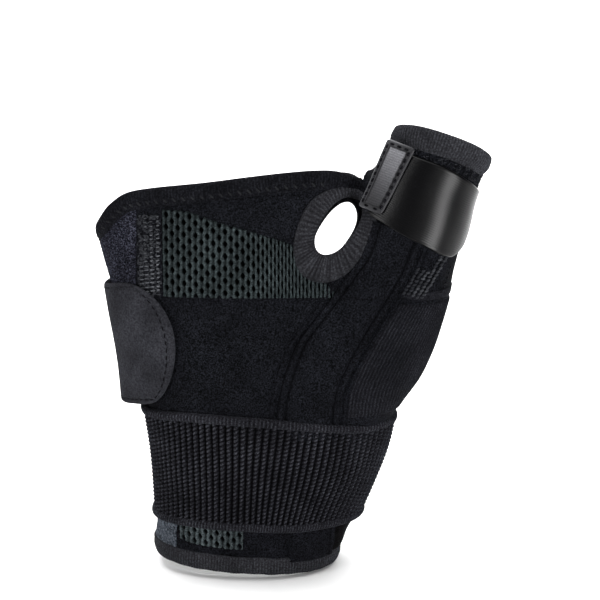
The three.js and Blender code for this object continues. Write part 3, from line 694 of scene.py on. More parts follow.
def sleeve():
    v, f = joined_form()
    past = past_edges(v, thumb_distance(v) < BESIDE_THUMB, BESIDE_THUMB, 2)
    v[~past] = settle(v[~past], 8)
    near_thumb = (thumb_distance(v) < BESIDE_THUMB) & (v[:, 0] > THUMB_FROM_X)
    gone = past | past_edges(v, near_thumb, 0, 0) | in_web(v)
    used, f = compact(f[~gone[f].any(1)])
    v = v[used]
    # the net panels lie in hollows of the wall
    inside = np.maximum(main_panel_edge(v[:, 0], v[:, 2]), lower_net_edge(v[:, 0], v[:, 2]))
    sink = np.where(v[:, 1] < 0, smooth(0.2, PANEL_SINK, inside), 0)
    v = v + cloth_normal(v) * (ripples(v) - PANEL_SINK * sink)[:, None]
    obj = mesh_object("sleeve_cloth", v, f, [FLEECE, LINING])
    wall = obj.modifiers.new("wall", "SOLIDIFY")
    wall.thickness = SLEEVE_WALL / 1000
    wall.offset = -1
    wall.material_offset = 1
    wall.material_offset_rim = 1
    ride(obj, "fleece", "sleeve")


sleeve()


# Tapes
TAPE_STEP = 0.26
TAPE_RIB_PITCH = 1.05
TAPE_STITCH_PITCH = 3.2


def strip_object(name, points, tone, closed, material, slot, *nodes):
    """A piece over a grid of points, closed round its first direction or open."""
    obj = mesh_object(name, points, grid_faces(*points.shape[:2], close_columns=closed), material, tone)
    ride(obj, slot, *nodes)


def even(line, spacing, closed):
    """The same line with points at an even spacing."""
    line = np.concatenate([line, line[:1]]) if closed else line
    s = lengths(line)
    return resample(line, np.linspace(0, s[-1], int(s[-1] / spacing), endpoint=not closed), s)


def folded_tape(name, node, line, towards, profile, closed, material, rib, slack=0.0):
    """A tape folded over an edge of the sleeve: at each place a profile of (down, off, rib) rows, with
    ribs across its width. Returns the edge's points, their normals and their ways down the cloth."""
    line = even(line, TAPE_STEP, closed)
    tangent = np.roll(line, -1, 0) - np.roll(line, 1, 0) if closed else np.gradient(line, axis=0)
    tangent /= np.linalg.norm(tangent, axis=1, keepdims=True)
    normal = cloth_normal(line)
    down = np.cross(tangent, normal)
    down /= np.linalg.norm(down, axis=1, keepdims=True)
    down *= np.sign(down @ towards)[:, None]
    s = lengths(line)
    total = s[-1] + (np.linalg.norm(line[0] - line[-1]) if closed else 0)
    wave = np.cos(TAU * s / total * max(int(total / TAPE_RIB_PITCH), 1))
    pull = slack * np.sin(TAU * s / total * 19) * np.sin(TAU * s / total * 7 + 1)
    points = np.stack(
        [line + down * (d + pull)[:, None] + normal * (off + rib * amount * wave)[:, None]
         for d, off, amount in profile], 1)
    tone = np.stack([0.68 + 0.32 * wave * amount for _, _, amount in profile], 1)
    strip_object(name, points, tone, closed, material, "tape", node)
    return line, normal, down


def tape_profile(width, lip=0.8, inner=3.6):
    """Rows of (down, off, rib) from the outer edge over the fold to the inner edge."""
    return [
        (width + 0.1, 0.0, 0), (width, 0.6 * lip, 0.3), (width - 0.5, lip, 0.7),
        (width - 1.3, 0.8 * lip, 0.4), (width - 1.9, 0.4 + 0.75 * lip, 1), (width * 0.45, 1.25, 1),
        (0.6, 1.2, 1), (-0.5, 0.85, 1), (-1.1, 0.1, 1), (-1.3, -1.0, 1), (-1.1, -2.2, 1),
        (-0.5, -3.0, 0.6), (0.6, -3.4, 0.4), (inner - 0.3, -3.3, 0.2), (inner, -2.7, 0),
    ]


def edge_tapes():
    # finger edge, from the thumb on the palm, round the little-finger side, to the thumb on the back
    up = np.array([0.0, 0.0, 1.0])
    turn = np.linspace(math.radians(360 - 22), math.radians(24), 500)
    line = settle(hand_point(turn, edge_height(finger_edge, turn), 0))
    profile = tape_profile(EDGE_TAPE_WIDTH)
    line, normal, down = folded_tape("finger_tape", "finger_edge_tape", line, -up, profile, False,
                                     DARK_TAPE, 0.1)
    # leaning stitches along the tape's lower edge
    s, paths = lengths(line), []
    for start in np.arange(15.0, s[-1] - 18.0, TAPE_STITCH_PITCH):
        at = start + np.linspace(0, 1.5, 5)
        depth = EDGE_TAPE_WIDTH - 1.0 - np.linspace(0, 1.9, 5)
        rise = 0.68 + 0.2 * ARCH
        paths.append(resample(line, at, s) + resample(down, at, s) * depth[:, None]
                     + resample(normal, at, s) * rise[:, None])
    threads("finger_tape_stitches", paths, 0.42, STRAP_THREAD, "tape", np.full(len(paths), 0.06))
    # hem and thumb mouth
    turn = np.linspace(0, TAU, 600, endpoint=False)
    line = hand_point(turn, edge_height(hem_edge, turn), 0)
    folded_tape("hem_tape", "wrist_edge_tape", line, up, profile, True, TAPE, 0.08, 0.14)
    line = thumb_point(turn, thumb_mouth(turn), 0)
    profile = tape_profile(THUMB_TAPE_WIDTH, 0.3)
    folded_tape("thumb_tape", "thumb_edge_tape", line, -AXIS, profile, True, TAPE, 0.1)


edge_tapes()


def web_tape(side, name, node):
    """Tape round one side of the web opening: a flat face outside the rim and a fold over it."""
    count = 260
    u = np.linspace(0, 1, count, endpoint=False)
    topness = np.maximum(0, np.cos(TAU * u)) ** 1.5
    lowness = np.maximum(0, -np.cos(TAU * u - WEB_TAPE_LOW_TURN)) ** 2
    width = mix(WEB_TAPE_WIDTH + WEB_TAPE_LOW_EXTRA * lowness, WEB_TAPE_TOP_WIDTH, topness)
    face = [(1.0, 0.0, 0), (0.985, 0.5, 0.3), (0.92, 0.8, 0.8), (0.84, 0.7, 0.4), (0.76, 1.0, 1),
            (0.5, 1.2, 1), (0.25, 1.25, 1), (0.05, 1.15, 1)]
    fold = [(0.5, 0.85, 1), (1.0, 0.1, 1), (1.15, -1.0, 1), (0.95, -2.1, 0.6), (0.4, -3.0, 0.3),
            (-0.9, -3.3, 0)]
    wave = np.cos(TAU * (u * 62 + 0.35 * np.sin(TAU * u * 5)))
    gather = np.sin(TAU * (u * 21 + 0.6 * np.sin(TAU * u * 3))) * (0.35 + 0.65 * lowness)

    def line_at(margin):
        x, z = web_point(u, margin)
        lift = np.zeros(count)
        for _ in range(3):
            lift = -WEB_BACK_SLOPE * face_point(x, z + lift, side)[:, 1]
        return face_point(x, z + lift, side)

    rim = line_at(0)
    rim_normal = cloth_normal(rim)
    inward = rim.mean(0) - rim
    inward -= (inward * rim_normal).sum(1, keepdims=True) * rim_normal
    inward /= np.linalg.norm(inward, axis=1, keepdims=True)
    points, tone = [], []
    for share, off, amount in face:
        line = line_at(share * width)
        lift = off + 0.1 * amount * wave + 0.22 * gather * math.sin(math.pi * share)
        points.append(line + cloth_normal(line) * lift[:, None])
        tone.append(np.clip(0.5 + 0.24 * wave * amount + 0.14 * gather, 0, 1))
    for reach, off, amount in fold:
        points.append(rim + inward * (reach + 0.1 * amount * wave)[:, None] + rim_normal * off)
        tone.append(0.5 + 0.25 * wave * amount)
    strip_object(name, np.stack(points, 1), np.stack(tone, 1), True, TAPE, "tape", node)


web_tape(-1, "web_tape_front", "web_tape_palm")
web_tape(1, "web_tape_rear", "web_tape_back")


# Net panels: columns of open diamonds with a narrow groove down each column, tighter towards the thumb
NET_PITCH = 2.03
NET_ROW = 4.2
NET_HOLE = (-24.9, 125.5)
NET_TILT = 0.07


def net_relief(x, z):
    """How much each place of the net is a hole, a groove, a ridge and a knot."""
    z = z + NET_TILT * (x - NET_HOLE[0])
    squeeze = smooth(-6, 20, x)
    column = (x - NET_HOLE[0]) / NET_PITCH
    column = column + 0.45 * np.maximum(x + 4, 0) / NET_PITCH * squeeze
    sway = 0.06 * np.cos(TAU * z / NET_ROW) * np.cos(np.pi * column)
    k = np.round(column)
    across = (column - k + sway) * NET_PITCH
    row = (z - NET_HOLE[1]) / NET_ROW + 0.5 * (k % 2)
    along = (row - np.round(row)) * NET_ROW
    wide, tall = mix(0.84, 0.42, squeeze), mix(0.98, 1.45, squeeze)
    diamond = np.abs(across / wide) ** 1.6 + np.abs(along / tall) ** 1.6
    hole = 1 - smooth(0.6, 1.5, diamond)
    groove = 0.35 * bell(across, 0, 0.17)
    ridge = np.cos(TAU * (column + sway - k))
    knot = 0.5 + 0.5 * np.cos(TAU * (row + 0.5))
    return hole, groove, ridge, knot


def net_panel(name, material, xs, zs, inside, *nodes):
    """A net over the palm face, on a grid of places, out to the edge where inside(x, z) is 0."""
    x, z = [a.ravel() for a in np.meshgrid(xs, zs, indexing="ij")]
    hole, groove, ridge, knot = net_relief(x, z)
    edge = inside(x, z)
    off = 0.4 - 0.2 * ridge - 1.3 * hole - 0.35 * groove
    off = np.where(edge < 0.8, mix(-0.6, off, np.clip(edge / 0.8, 0, 1)), off)
    # tone: near black in the holes, for the black fleece under them and painted shade; lower in the grooves
    # and with the ridges and knots
    tone = np.clip((1 - hole) * (1 - groove) * (0.55 - 0.3 * ridge + 0.3 * (1 - knot)), 0, 1)
    # painted shade where the net sinks at the panel's edge
    tone *= 0.35 + 0.65 * smooth(-0.2, 1.0, edge)
    faces = grid_faces(len(xs), len(zs))
    used, faces = compact(faces[(edge[faces] > -0.3).all(1)])
    obj = mesh_object(name, on_palm(x[used], z[used], off[used]), faces, material, tone[used])
    ride(obj, "mesh", *nodes)


net_panel("net_panel", NET, np.arange(-31, 29.5, 0.22), np.arange(100.5, 133, 0.275), main_panel_edge,
          "mesh_panel")
net_panel("lower_net", LOWER_NET, np.arange(-27.4, 1, 0.22), np.arange(8, 20, 0.275), lower_net_edge)


# Stay pocket: a sewn channel between its two seams, with a welt and a groove beside each seam
def seam_relief(edge):
    """Height of the channel at a distance inside its seam: crease, welt, groove, then the flat middle."""
    low = 1.05 * smooth(0.0, 0.8, edge) - 0.5 * bell(edge, 2.7, 0.5)
    return low + 0.22 * smooth(3.2, 6, edge) - 0.05


STAY_LOW = 0.36
STAY_TOP = 0.862


def stay_pocket():
    rows, columns = 210, 90
    t = np.linspace(STAY_LOW, STAY_TOP, rows)
    seam = read_table(STAY_SEAMS, "rise", t)
    inner, outer = seam["inner"][:, None] * HAND_WIDTH, seam["outer"][:, None] * HAND_WIDTH
    extra = 3.4
    a = np.linspace(0, 1, columns)[None]
    x = inner - extra + a * (outer - inner + 2 * extra)
    z = np.broadcast_to((t * SLEEVE_HEIGHT)[:, None], x.shape)
    across = (x - inner) / (outer - inner)
    z = z + 6 * (1 - np.clip(across, 0, 1)) * smooth(0.7, 0.86, t)[:, None]
    # distances square to the slanted seams
    from_inner, from_outer = (x - inner) * 0.84, (outer - x) * 0.95
    edge = np.minimum(from_inner, from_outer)
    outside = np.maximum(-edge, 0)
    off = seam_relief(np.maximum(edge, 0))
    beyond = 0.55 * smooth(0.25, 1.0, outside) - 0.3 * bell(outside, 2.1, 0.35)
    beyond = beyond - 0.9 * smooth(2.5, 3.2, outside)
    off = np.where(edge >= 0, off, beyond - 0.05)
    # painted shade: the tone darkens in the creases at the seams, in the grooves beside them and in the
    # groove outside each seam
    crease = bell(edge, 0, 0.45) + 0.6 * bell(edge, 2.7, 0.4)
    crease = crease + 0.35 * bell(outside, 2.1, 0.35)
    p = on_palm(x, z, off - 0.35 * crease)
    tone = 1 - np.clip(crease, 0, 1)
    strip_object("stay_channel", p, tone, False, FLEECE_WITH_PAINTED_SHADE, "fleece", "stay_pocket")


stay_pocket()


# Rib-knit side of the thumb, from the outer seam of the stay pocket round to the back of the hand
RIB_PITCH = 1.25
RIB_LOW = 58
RIB_TOP = 101.7


def rib_panel():
    z = np.arange(RIB_LOW, 104.2, 0.4)
    length, columns = 40, 182
    seam_x = read_table(STAY_SEAMS, "rise", z / SLEEVE_HEIGHT)["outer"] * HAND_WIDTH + 0.9
    p = wrapped(z, 38, -110, 75, seam_x, length, columns)
    s = np.linspace(0, length, columns)[None]
    below = RIB_TOP - 1.1 * smooth(0, 12, s) - z[:, None]
    wave = np.cos(TAU * (s + 0.03 * (z[:, None] - 80)) / RIB_PITCH)
    fade = smooth(0.3, 1.5, s) * smooth(0.3, 1.6, below) * (1 - smooth(37, length, s))
    low = smooth(0, 1.5, z - RIB_LOW)[:, None]
    off = (0.4 + 0.13 * wave) * fade * low - 0.25 * (1 - fade * low)
    seam = bell(below, 0, 0.45)
    off = np.where(below < 0, 0.25 - 0.5 * seam, off - 0.35 * seam)
    # painted shade: the tone darkens where the knit dips at its edges and in the groove of its top seam
    tone = np.where(below < 0, 0.7, (0.62 + 0.34 * wave) * (0.2 + 0.8 * fade)) * (1 - 0.9 * seam)
    v = p + cloth_normal(p) * off[..., None]
    strip_object("rib_side", v, np.clip(tone, 0, 1), False, RIBBED, "knit")


rib_panel()


# Loop pile of the little-finger side, and the ladder of stitches beside it
PILE_SEAM = table("z x", (88, -39.3), (105.2, -39.1), (125.7, -38.6), (134, -38.4))


def side_cloth(name, z, seam_x, length, material, loop_height):
    """A cloth sewn over the little-finger side of the sleeve, from a seam on the palm round to the back."""
    rng = np.random.default_rng(7)
    columns = int(length / 0.38)
    p = wrapped(z, -20, -80, -285, seam_x, length, columns)
    s = np.linspace(0, length, columns)[None]
    loops = rng.uniform(-1, 1, p.shape[:2])
    fade = smooth(0.2, 1.0, s) * (1 - smooth(length - 2, length, s))
    ceiling = finger_edge(p[..., 0], p[..., 1]) - EDGE_TAPE_WIDTH - p[..., 2]
    fade = fade * smooth(-0.6, 0.4, ceiling)
    off = -0.35 + (0.75 + loop_height * loops) * fade
    v = p + cloth_normal(p) * (off + ripples(p))[..., None]
    faces = grid_faces(*v.shape[:2])
    faces = faces[(ceiling.ravel()[faces] > -1.2).all(1)]
    # painted shade: the tone darkens where the cloth dips at its seam, at its far end and under the finger
    # tape; the loops vary it at random
    tone = np.clip((0.6 + 0.5 * loops) * (0.1 + 0.9 * fade), 0, 1)
    ride(mesh_object(name, v, faces, material, tone), "fleece")


pile_heights = np.arange(88, 137, 0.42)
side_cloth("pile_panel", pile_heights, read_table(PILE_SEAM, "z", pile_heights)["x"], 34, PILE, 0.3)
low_heights = np.arange(4, 19, 0.42)
side_cloth("low_side_panel", low_heights, np.full(len(low_heights), -26.9), 30, JERSEY_WITH_PAINTED_LIGHT, 0.12)


def hem_flap():
    """The sleeve's overlapping end beside the hem: a flap, its cut edge, and painted shadow on the lower
    cloth past the edge.
    """
    z = np.arange(3.6, 19.2, 0.4)
    columns, length = 120, 40.0
    p = wrapped(z, 0, -100, 80, np.full(len(z), 12.0), length, columns)
    s = np.linspace(0, length, columns)[None]
    first = np.argmax(p[..., 0] >= (28.0 + 0.1 * (z - 4))[:, None], axis=1)
    past = s - s[0, first][:, None]
    under = smooth(-0.3, 0.2, past)
    off = mix(0.25 + 0.95 * smooth(0, 2, s), 0.12, under)
    hidden = smooth(-4.6, -3.6, -z)[:, None] + smooth(length - 3, length, s) + 1 - smooth(0, 1, s)
    seam = bell(past, -2.2, 0.3)
    off = off + ripples(p) - 0.3 * seam - 0.9 * np.clip(hidden, 0, 1)
    v = p + cloth_normal(p) * off[..., None]
    # tone: painted shadow for a few millimetres past the flap's edge, and painted shade in the seam's
    # groove
    tone = np.clip(1 - under * (1 - smooth(4, 9, past)) - 0.6 * seam, 0, 1)
    strip_object("hem_flap", v, tone, False, FLEECE_WITH_PAINTED_SHADE, "fleece")


hem_flap()


LADDER_COLUMNS = (-38.0, -36.2, -34.2, -31.9)
LADDER_LOW = 102.6
LADDER_TOP = 129.6
LADDER_PITCH = 1.5


def stitch_ladder():
    """Columns of short level stitches; the lower rows run on across the columns."""
    rng = np.random.default_rng(11)
    paths, tones = [], []
    for k, x in enumerate(LADDER_COLUMNS):
        for z in np.arange(LADDER_LOW + 0.35 * k, LADDER_TOP, LADDER_PITCH):
            joined = 0.6 * (1 - smooth(108, 116, z)) * (k < 3)
            half = 0.55 + 0.55 * joined + rng.uniform(-0.08, 0.08)
            at = x + rng.uniform(-0.12, 0.12) + 0.5 * joined + np.linspace(-half, half, 5)
            rise = 0.22 + 0.16 * ARCH
            paths.append(on_palm(at, z + 0.12 * np.linspace(-1, 1, 5) + rng.uniform(-0.1, 0.1), rise))
            shade = 0.02 + 0.09 * k + 0.16 * (1 - smooth(106, 124, z)) + rng.uniform(-0.08, 0.1)
            tones.append(np.clip(shade, 0, 1))
    # short loose ends of thread between the columns
    for _ in range(420):
        x, z, turn = rng.uniform(-39, -30.9), rng.uniform(101.5, 129.5), rng.uniform(0, np.pi)
        t = np.linspace(-0.5, 0.5, 5)
        paths.append(on_palm(x + t * math.cos(turn), z + t * math.sin(turn), 0.12 - 0.6 * t * t))
        tones.append(rng.uniform(0, 0.1))
    threads("side_stitches", paths, 0.27, THREAD, "fleece", tones)


stitch_ladder()


# Stitched patch where the rib knit meets the thumb tube, with its corners in x and z
PATCH_TOP = (66.0, 116.0)
PATCH_FOOT = (57.4, 101.9)
PATCH_ROW = 1.3


def bead_patch():
    """Rows of slanted bead-like stitches between two corners on the outer face of the thumb."""
    rng = np.random.default_rng(5)
    paths, tones = [], []
    start, end = np.array(PATCH_TOP), np.array(PATCH_FOOT)
    along = end - start
    length = np.linalg.norm(along)
    along /= length
    side = np.array([along[1], -along[0]])
    for row in np.arange(0, length, PATCH_ROW):
        for k in range(5 if row > 0.35 * length else 2):
            turn = 0.5 + rng.uniform(-0.4, 0.4)
            centre = start + along * (row + 0.35 * k) + side * (1.6 * k - 0.9) + rng.uniform(-0.22, 0.22, 2)
            at = centre + np.linspace(-0.75, 0.75, 5)[:, None] * np.array([math.cos(turn), math.sin(turn)])
            rise = 0.15 + 0.2 * ARCH
            paths.append(on_palm(at[:, 0], at[:, 1], rise))
            tones.append(rng.uniform(0.02, 0.16) if k < 3 else rng.uniform(0, 0.03))
    threads("patch_stitches", paths, 0.46, THREAD, "fleece", tones)


bead_patch()


# Wrist strap: rope-like knit columns of slanted beads between two welts
ROPE_LEAN = 0.06


def wrist_strap():
    ropes, per_rope, beads, per_bead = 94, 6, 24, 6
    columns = ropes * per_rope
    dense = np.linspace(-0.2, TAU + 0.2, 4400)
    s = lengths(hand_point(dense, 38.0, 2.1))
    s = s - np.interp(0, dense, s)
    girth = np.interp(TAU, dense, s)
    place = np.linspace(0, girth, columns, endpoint=False)
    angle = np.interp(place, s, dense)
    across = hand_point(angle, WRIST_STRAP_RUN[0]["middle"] * SLEEVE_HEIGHT, 0)[:, 0] / HAND_WIDTH
    row = read_table(WRIST_STRAP_RUN, "across", across)
    width, middle = row["width"] * WRIST_STRAP_WIDTH, row["middle"] * SLEEVE_HEIGHT
    inset = 2.85
    edge = [(-0.25, -0.6), (-0.3, 0.6), (-0.1, 1.5), (0.5, 2.15), (1.3, 2.35), (2.2, 2.2), (2.75, 1.7)]
    q = ((np.arange(columns) / per_rope) % 1.0 - 0.5)[:, None]
    share = np.linspace(0, 1, beads * per_bead + 1)[None]
    phase = share * beads - 0.9 * q + 0.5 * ((np.arange(columns) // per_rope) % 2)[:, None]
    bead = np.abs(np.cos(np.pi * phase)) ** 0.7
    cord = np.sqrt(np.maximum(0, 1 - (2.85 * q) ** 2))
    z_body = middle[:, None] - width[:, None] / 2 + inset + share * (width[:, None] - 2 * inset)
    off_body = 0.55 + 1.4 * cord * (0.45 + 0.55 * bead)
    # tone: painted shade between the ropes and beads, painted highlight on the bead tops
    tone_body = np.clip(cord**1.2 * (0.05 + 1.05 * bead**2), 0, 1)
    comb = np.cos(TAU * np.arange(columns) / 3)[:, None]
    rib = np.array([0, 0, 0.4, 1, 1, 1, 0.4])[None] * comb
    edge_in, edge_off = np.array(edge).T
    off_low = edge_off[None] + 0.22 * rib
    z_low = middle[:, None] - width[:, None] / 2 + edge_in[None]
    z_high = middle[:, None] + width[:, None] / 2 - edge_in[::-1][None]
    tone_low = 0.56 + 0.5 * rib
    z = np.concatenate([z_low, z_body, z_high], 1)
    off = np.concatenate([off_low, off_body, off_low[:, ::-1]], 1)
    tone = np.concatenate([tone_low, tone_body, tone_low[:, ::-1]], 1)
    # the ropes lean a little towards the thumb as they rise
    turn = np.interp(place[:, None] + ROPE_LEAN * (z - middle[:, None]), s, dense)
    slack = 0.35 * np.sin(3 * turn + z * 0.15) * smooth(0.0, 1, np.cos(turn))
    slack = slack + 0.2 * np.sin(5 * turn) * np.sin(z * 0.2)
    p = hand_point(turn, z, off + slack)
    strip_object("wrist_band", p, np.clip(tone, 0, 1), True, KNIT, "knit", "wrist_strap")


wrist_strap()


# Palm strap with its rounded tab
PALM_STITCH_INSET = 1.8


def palm_place(u, v, off):
    """u runs along the strap to the tip of its tab, v up across it; both reach 0 to 1."""
    rounding = np.sqrt(np.maximum(0, 1 - (2 * v - 1) ** 2))
    tip = 1 - (PALM_TAB_ROUNDING / (HAND_WIDTH * PALM_STRAP_REACH)) * (1 - rounding)
    in_tab = (u - PALM_TAB_START) / (1 - PALM_TAB_START)
    along = np.where(u < PALM_TAB_START, u, mix(PALM_TAB_START, tip, in_tab))
    row = read_table(PALM_STRAP_RUN, "along", along)
    z = row["low"] * SLEEVE_HEIGHT + v * row["width"] * PALM_STRAP_WIDTH
    standoff = row["off"] * mix(PALM_STRAP_STANDOFF, PALM_STRAP_TOP_STANDOFF, v)
    skew = PALM_TAB_SKEW * (v - 0.5) * along**6
    return hand_point(TAU * (row["turn"] + skew), z, 0.3 + standoff + off)


def slab_faces(columns, rows):
    """Faces of a closed slab: an outer grid, the same grid under it, and the rim between them."""
    size = columns * rows
    border = [(i, 0) for i in range(columns - 1)] + [(columns - 1, j) for j in range(rows - 1)]
    border += [(i, rows - 1) for i in range(columns - 1, 0, -1)] + [(0, j) for j in range(rows - 1, 0, -1)]
    ids = np.array([i * rows + j for i, j in border])
    after = np.roll(ids, -1)
    rim = np.stack([after, ids, ids + size, after + size], -1)
    return np.concatenate([grid_faces(columns, rows), grid_faces(columns, rows, flip=True) + size, rim])


def palm_strap():
    columns, rows = 240, 84
    u = np.linspace(0, 1, columns)[:, None]
    even_v = np.linspace(0, 1, rows)[None]
    v = mix(0.5 - 0.5 * np.cos(np.pi * even_v), even_v, 0.5)
    edge = np.minimum(np.minimum(v, 1 - v) * PALM_STRAP_WIDTH, (1 - u) * 60)
    round_ = 1 - np.exp(-edge / 0.45)
    groove = 0.3 * bell(edge, PALM_STITCH_INSET, 0.4)
    u, v = np.broadcast_arrays(u, v)
    outer = palm_place(u, v, 0.85 + 0.75 * round_ - groove)
    inner = palm_place(u, v, 0.75 - 0.7 * round_)
    obj = mesh_object("palm_band", np.stack([outer, inner]), slab_faces(columns, rows), SUEDE)
    ride(obj, "suede", "palm_strap")
    # stitches just inside the edge of the tab, a few of them paler at the top
    t = np.linspace(0, 1, 400)
    inset = PALM_STITCH_INSET / PALM_STRAP_WIDTH
    low = np.stack([mix(0.3, 0.965, t), np.full(400, inset)], -1)
    tip = np.stack([np.full(400, 0.97), mix(inset, 1 - inset, t)], -1)
    high = np.stack([mix(0.965, 0.3, t), np.full(400, 1 - inset)], -1)
    uv = np.concatenate([low, tip, high])
    line = palm_place(uv[:, 0], uv[:, 1], 1.3)
    normal = palm_place(uv[:, 0], uv[:, 1], 2.3) - line
    paths = stitch_paths(line, normal, 1.7, 0.9, 0.12, 0.14)
    tones = [0.08 if path[2, 2] > 102.5 and path[2, 1] < 0 else 0.0 for path in paths]
    threads("palm_band_stitches", paths, 0.17, STRAP_THREAD, "suede", tones)


palm_strap()


# Thumb strap: glossy satin with fine ribs along it, and its tab
THUMB_STRAP_RIBS = 36
TAB_RIBS = 30
TAB_CORNER = 1.4


def thumb_strap():
    columns, rows = 170, 190
    u = np.linspace(THUMB_STRAP_RUN[0]["turn"], THUMB_STRAP_RUN[-1]["turn"], columns)[:, None]
    v = np.linspace(0, 1, rows)[None]
    row = read_table(THUMB_STRAP_RUN, "turn", u[:, 0])
    low, high = row["low"][:, None] * THUMB_LENGTH, row["high"][:, None] * THUMB_LENGTH
    along = mix(low, high, v)
    round_ = 1 - np.exp(-np.minimum(along - low, high - along) / 0.3)
    rib = np.cos(TAU * v * THUMB_STRAP_RIBS)
    angle = np.broadcast_to(TAU * u, along.shape)
    sag = 0.25 * np.sin(angle * 3.0 + 0.6) + 0.18 * np.sin(v * 7 + angle)
    off = 0.25 + 1.15 * round_ + 0.03 * rib + sag * round_
    tone = np.broadcast_to(0.6 + 0.4 * rib, along.shape)
    p = thumb_point(angle, along, off)
    strip_object("thumb_band", p, tone, False, SATIN, "satin", "thumb_strap")


thumb_strap()


def thumb_loops():
    """Loose loops of the cloth's face, between the thumb strap and the tape of the thumb's edge."""
    rng = np.random.default_rng(3)
    count = 620
    turn = rng.uniform(-2.6, 2.6, count)
    share = rng.uniform(0, 1, count)
    top = (thumb_mouth(turn) - THUMB_TAPE_WIDTH) / THUMB_LENGTH
    along = mix(0.885, np.maximum(top, 0.9), share) * THUMB_LENGTH
    way = rng.uniform(0, np.pi, count)
    paths = []
    for a, l, w in zip(turn, along, way):
        t = np.linspace(-0.5, 0.5, 5)
        rise = 0.05 + 0.3 * np.array([0.0, 0.8, 1.0, 0.8, 0.0])
        paths.append(thumb_point(a + t * math.cos(w) / 16, l + t * math.sin(w), rise))
    threads("thumb_loops", paths, 0.17, THREAD, "fleece", rng.uniform(0, 0.07, count))


thumb_loops()


def tab_place(u, v, off):
    """u runs across the tab from its free edge to its sewn edge, v along the thumb; both reach 0 to 1."""
    along = mix(THUMB_TAB["low"], THUMB_TAB["high"], v) * THUMB_LENGTH
    hinge = TAU * mix(THUMB_TAB["turn_low"], THUMB_TAB["turn_high"], v)
    start = thumb_point(hinge, along, 1.75 + off)
    reach = (mix(TAB_LOW_WIDTH, TAB_WIDTH, v) * (1 - u))[..., None]
    return start - reach * math.cos(TAB_TILT) * ACROSS + reach * math.sin(TAB_TILT) * BACKWARD


def thumb_tab():
    columns, rows = 60, 150
    u, v = np.meshgrid(np.linspace(0, 1, columns), np.linspace(0, 1, rows), indexing="ij")
    length = (THUMB_TAB["high"] - THUMB_TAB["low"]) * THUMB_LENGTH
    # the same grid with its corners drawn in to a radius
    half_width, half_length, radius = TAB_WIDTH / 2, length / 2, TAB_CORNER
    cx, cy = (u - 0.5) * TAB_WIDTH, (v - 0.5) * length
    over_x = np.maximum(np.abs(cx) - (half_width - radius), 0)
    over_y = np.maximum(np.abs(cy) - (half_length - radius), 0)
    reach = np.hypot(over_x, over_y)
    scale = np.where((over_x > 0) & (over_y > 0) & (reach > radius), radius / np.maximum(reach, 1e-6), 1.0)
    nx = np.sign(cx) * (np.minimum(np.abs(cx), half_width - radius) + over_x * scale)
    ny = np.sign(cy) * (np.minimum(np.abs(cy), half_length - radius) + over_y * scale)
    u2, v2 = nx / TAB_WIDTH + 0.5, ny / length + 0.5
    edge = np.minimum(half_width - np.abs(cx), half_length - np.abs(cy))
    round_ = 1 - np.exp(-edge / 0.25)
    groove = bell(edge, 2.0, 0.35)
    middle = smooth(2.2, 2.8, edge)
    rib = np.cos(TAU * v * TAB_RIBS) * middle
    top = tab_place(u2, v2, 0.45 + 0.55 * round_ - 0.3 * groove + 0.035 * rib - 0.12 * middle)
    under = tab_place(u2, v2, 0.4 - 0.35 * round_)
    # painted sheen: the satin field grows lighter towards the top of the tab
    field = mix(0.1, 0.85, smooth(0.1, 1.05, v)) * (0.85 + 0.15 * rib)
    # the border darkens towards the sewn edge and has a painted highlight along its rim, strongest at the
    # free edge
    border = mix(0.16, 0.07, smooth(0.2, 0.8, u)) + 0.5 * bell(edge, 0, 0.35) * (1 - u)
    # painted shade in the groove of the stitches
    tone = mix(border, field, smooth(1.9, 2.5, edge)) * (1 - 0.8 * groove)
    tone = np.stack([np.clip(tone, 0, 1), np.full(tone.shape, 0.1)])
    obj = mesh_object("thumb_tab", np.stack([top, under]), slab_faces(columns, rows), PAINTED_SHEEN_SATIN, tone)
    ride(obj, "tab", "thumb_strap_tab")
    inset = 1.25
    a0, a1 = inset / TAB_WIDTH, 1 - inset / TAB_WIDTH
    b0, b1 = inset / length, 1 - inset / length
    corners = np.array([[a0, b0], [a1, b0], [a1, b1], [a0, b1], [a0, b0]])
    t = np.linspace(0, 1, 200)[:, None]
    loop = np.concatenate([mix(a, b, t) for a, b in zip(corners, corners[1:])])
    line = tab_place(loop[:, 0], loop[:, 1], 0.95)
    normal = tab_place(loop[:, 0], loop[:, 1], 1.95) - line
    paths = []
    for side, up in zip(np.split(line, 4), np.split(normal, 4)):
        paths += stitch_paths(side, up, 1.45, 1.0, 0.1, 0.18)
    threads("tab_stitches", paths, 0.42, DARK_THREAD, "tab")
    # the pale thread that shows between the dark stitches on the free edge
    pale = stitch_paths(line[600:], normal[600:], 0.6, 0, 0.05, 0.12, 2.45, 1.0)[:-1]
    threads("tab_pale_stitches", pale, 0.24, THREAD, "tab")


thumb_tab()


# Stitched seams: short dark stitches along lines on the palm face
SEAM_LINES = {
    "seam_right_of_patch": [(68.2, 113.0), (67.2, 109.4), (66.0, 106.0), (64.4, 102.8)],
    "seam_flap": [(24.4, 17.5), (23.6, 5.6)],
    "seam_flap_edge": [(27.2, 17.5), (26.2, 4.2)],
}


def seam_stitches(name, corners):
    s = lengths(corners)
    at = resample(corners, np.linspace(0, s[-1], 120), s)
    line = on_palm(at[:, 0], at[:, 1], 0.75)
    paths = stitch_paths(line, cloth_normal(line), 1.1, 0.7, 0.16, 0.14)
    threads(name, paths, 0.16, STRAP_THREAD, "fleece")


for seam_name, seam_corners in SEAM_LINES.items():
    seam_stitches(seam_name, np.array(seam_corners))


# Floor, light and camera
FLOOR_FRONT = -160
FLOOR_HEIGHT = -2.4


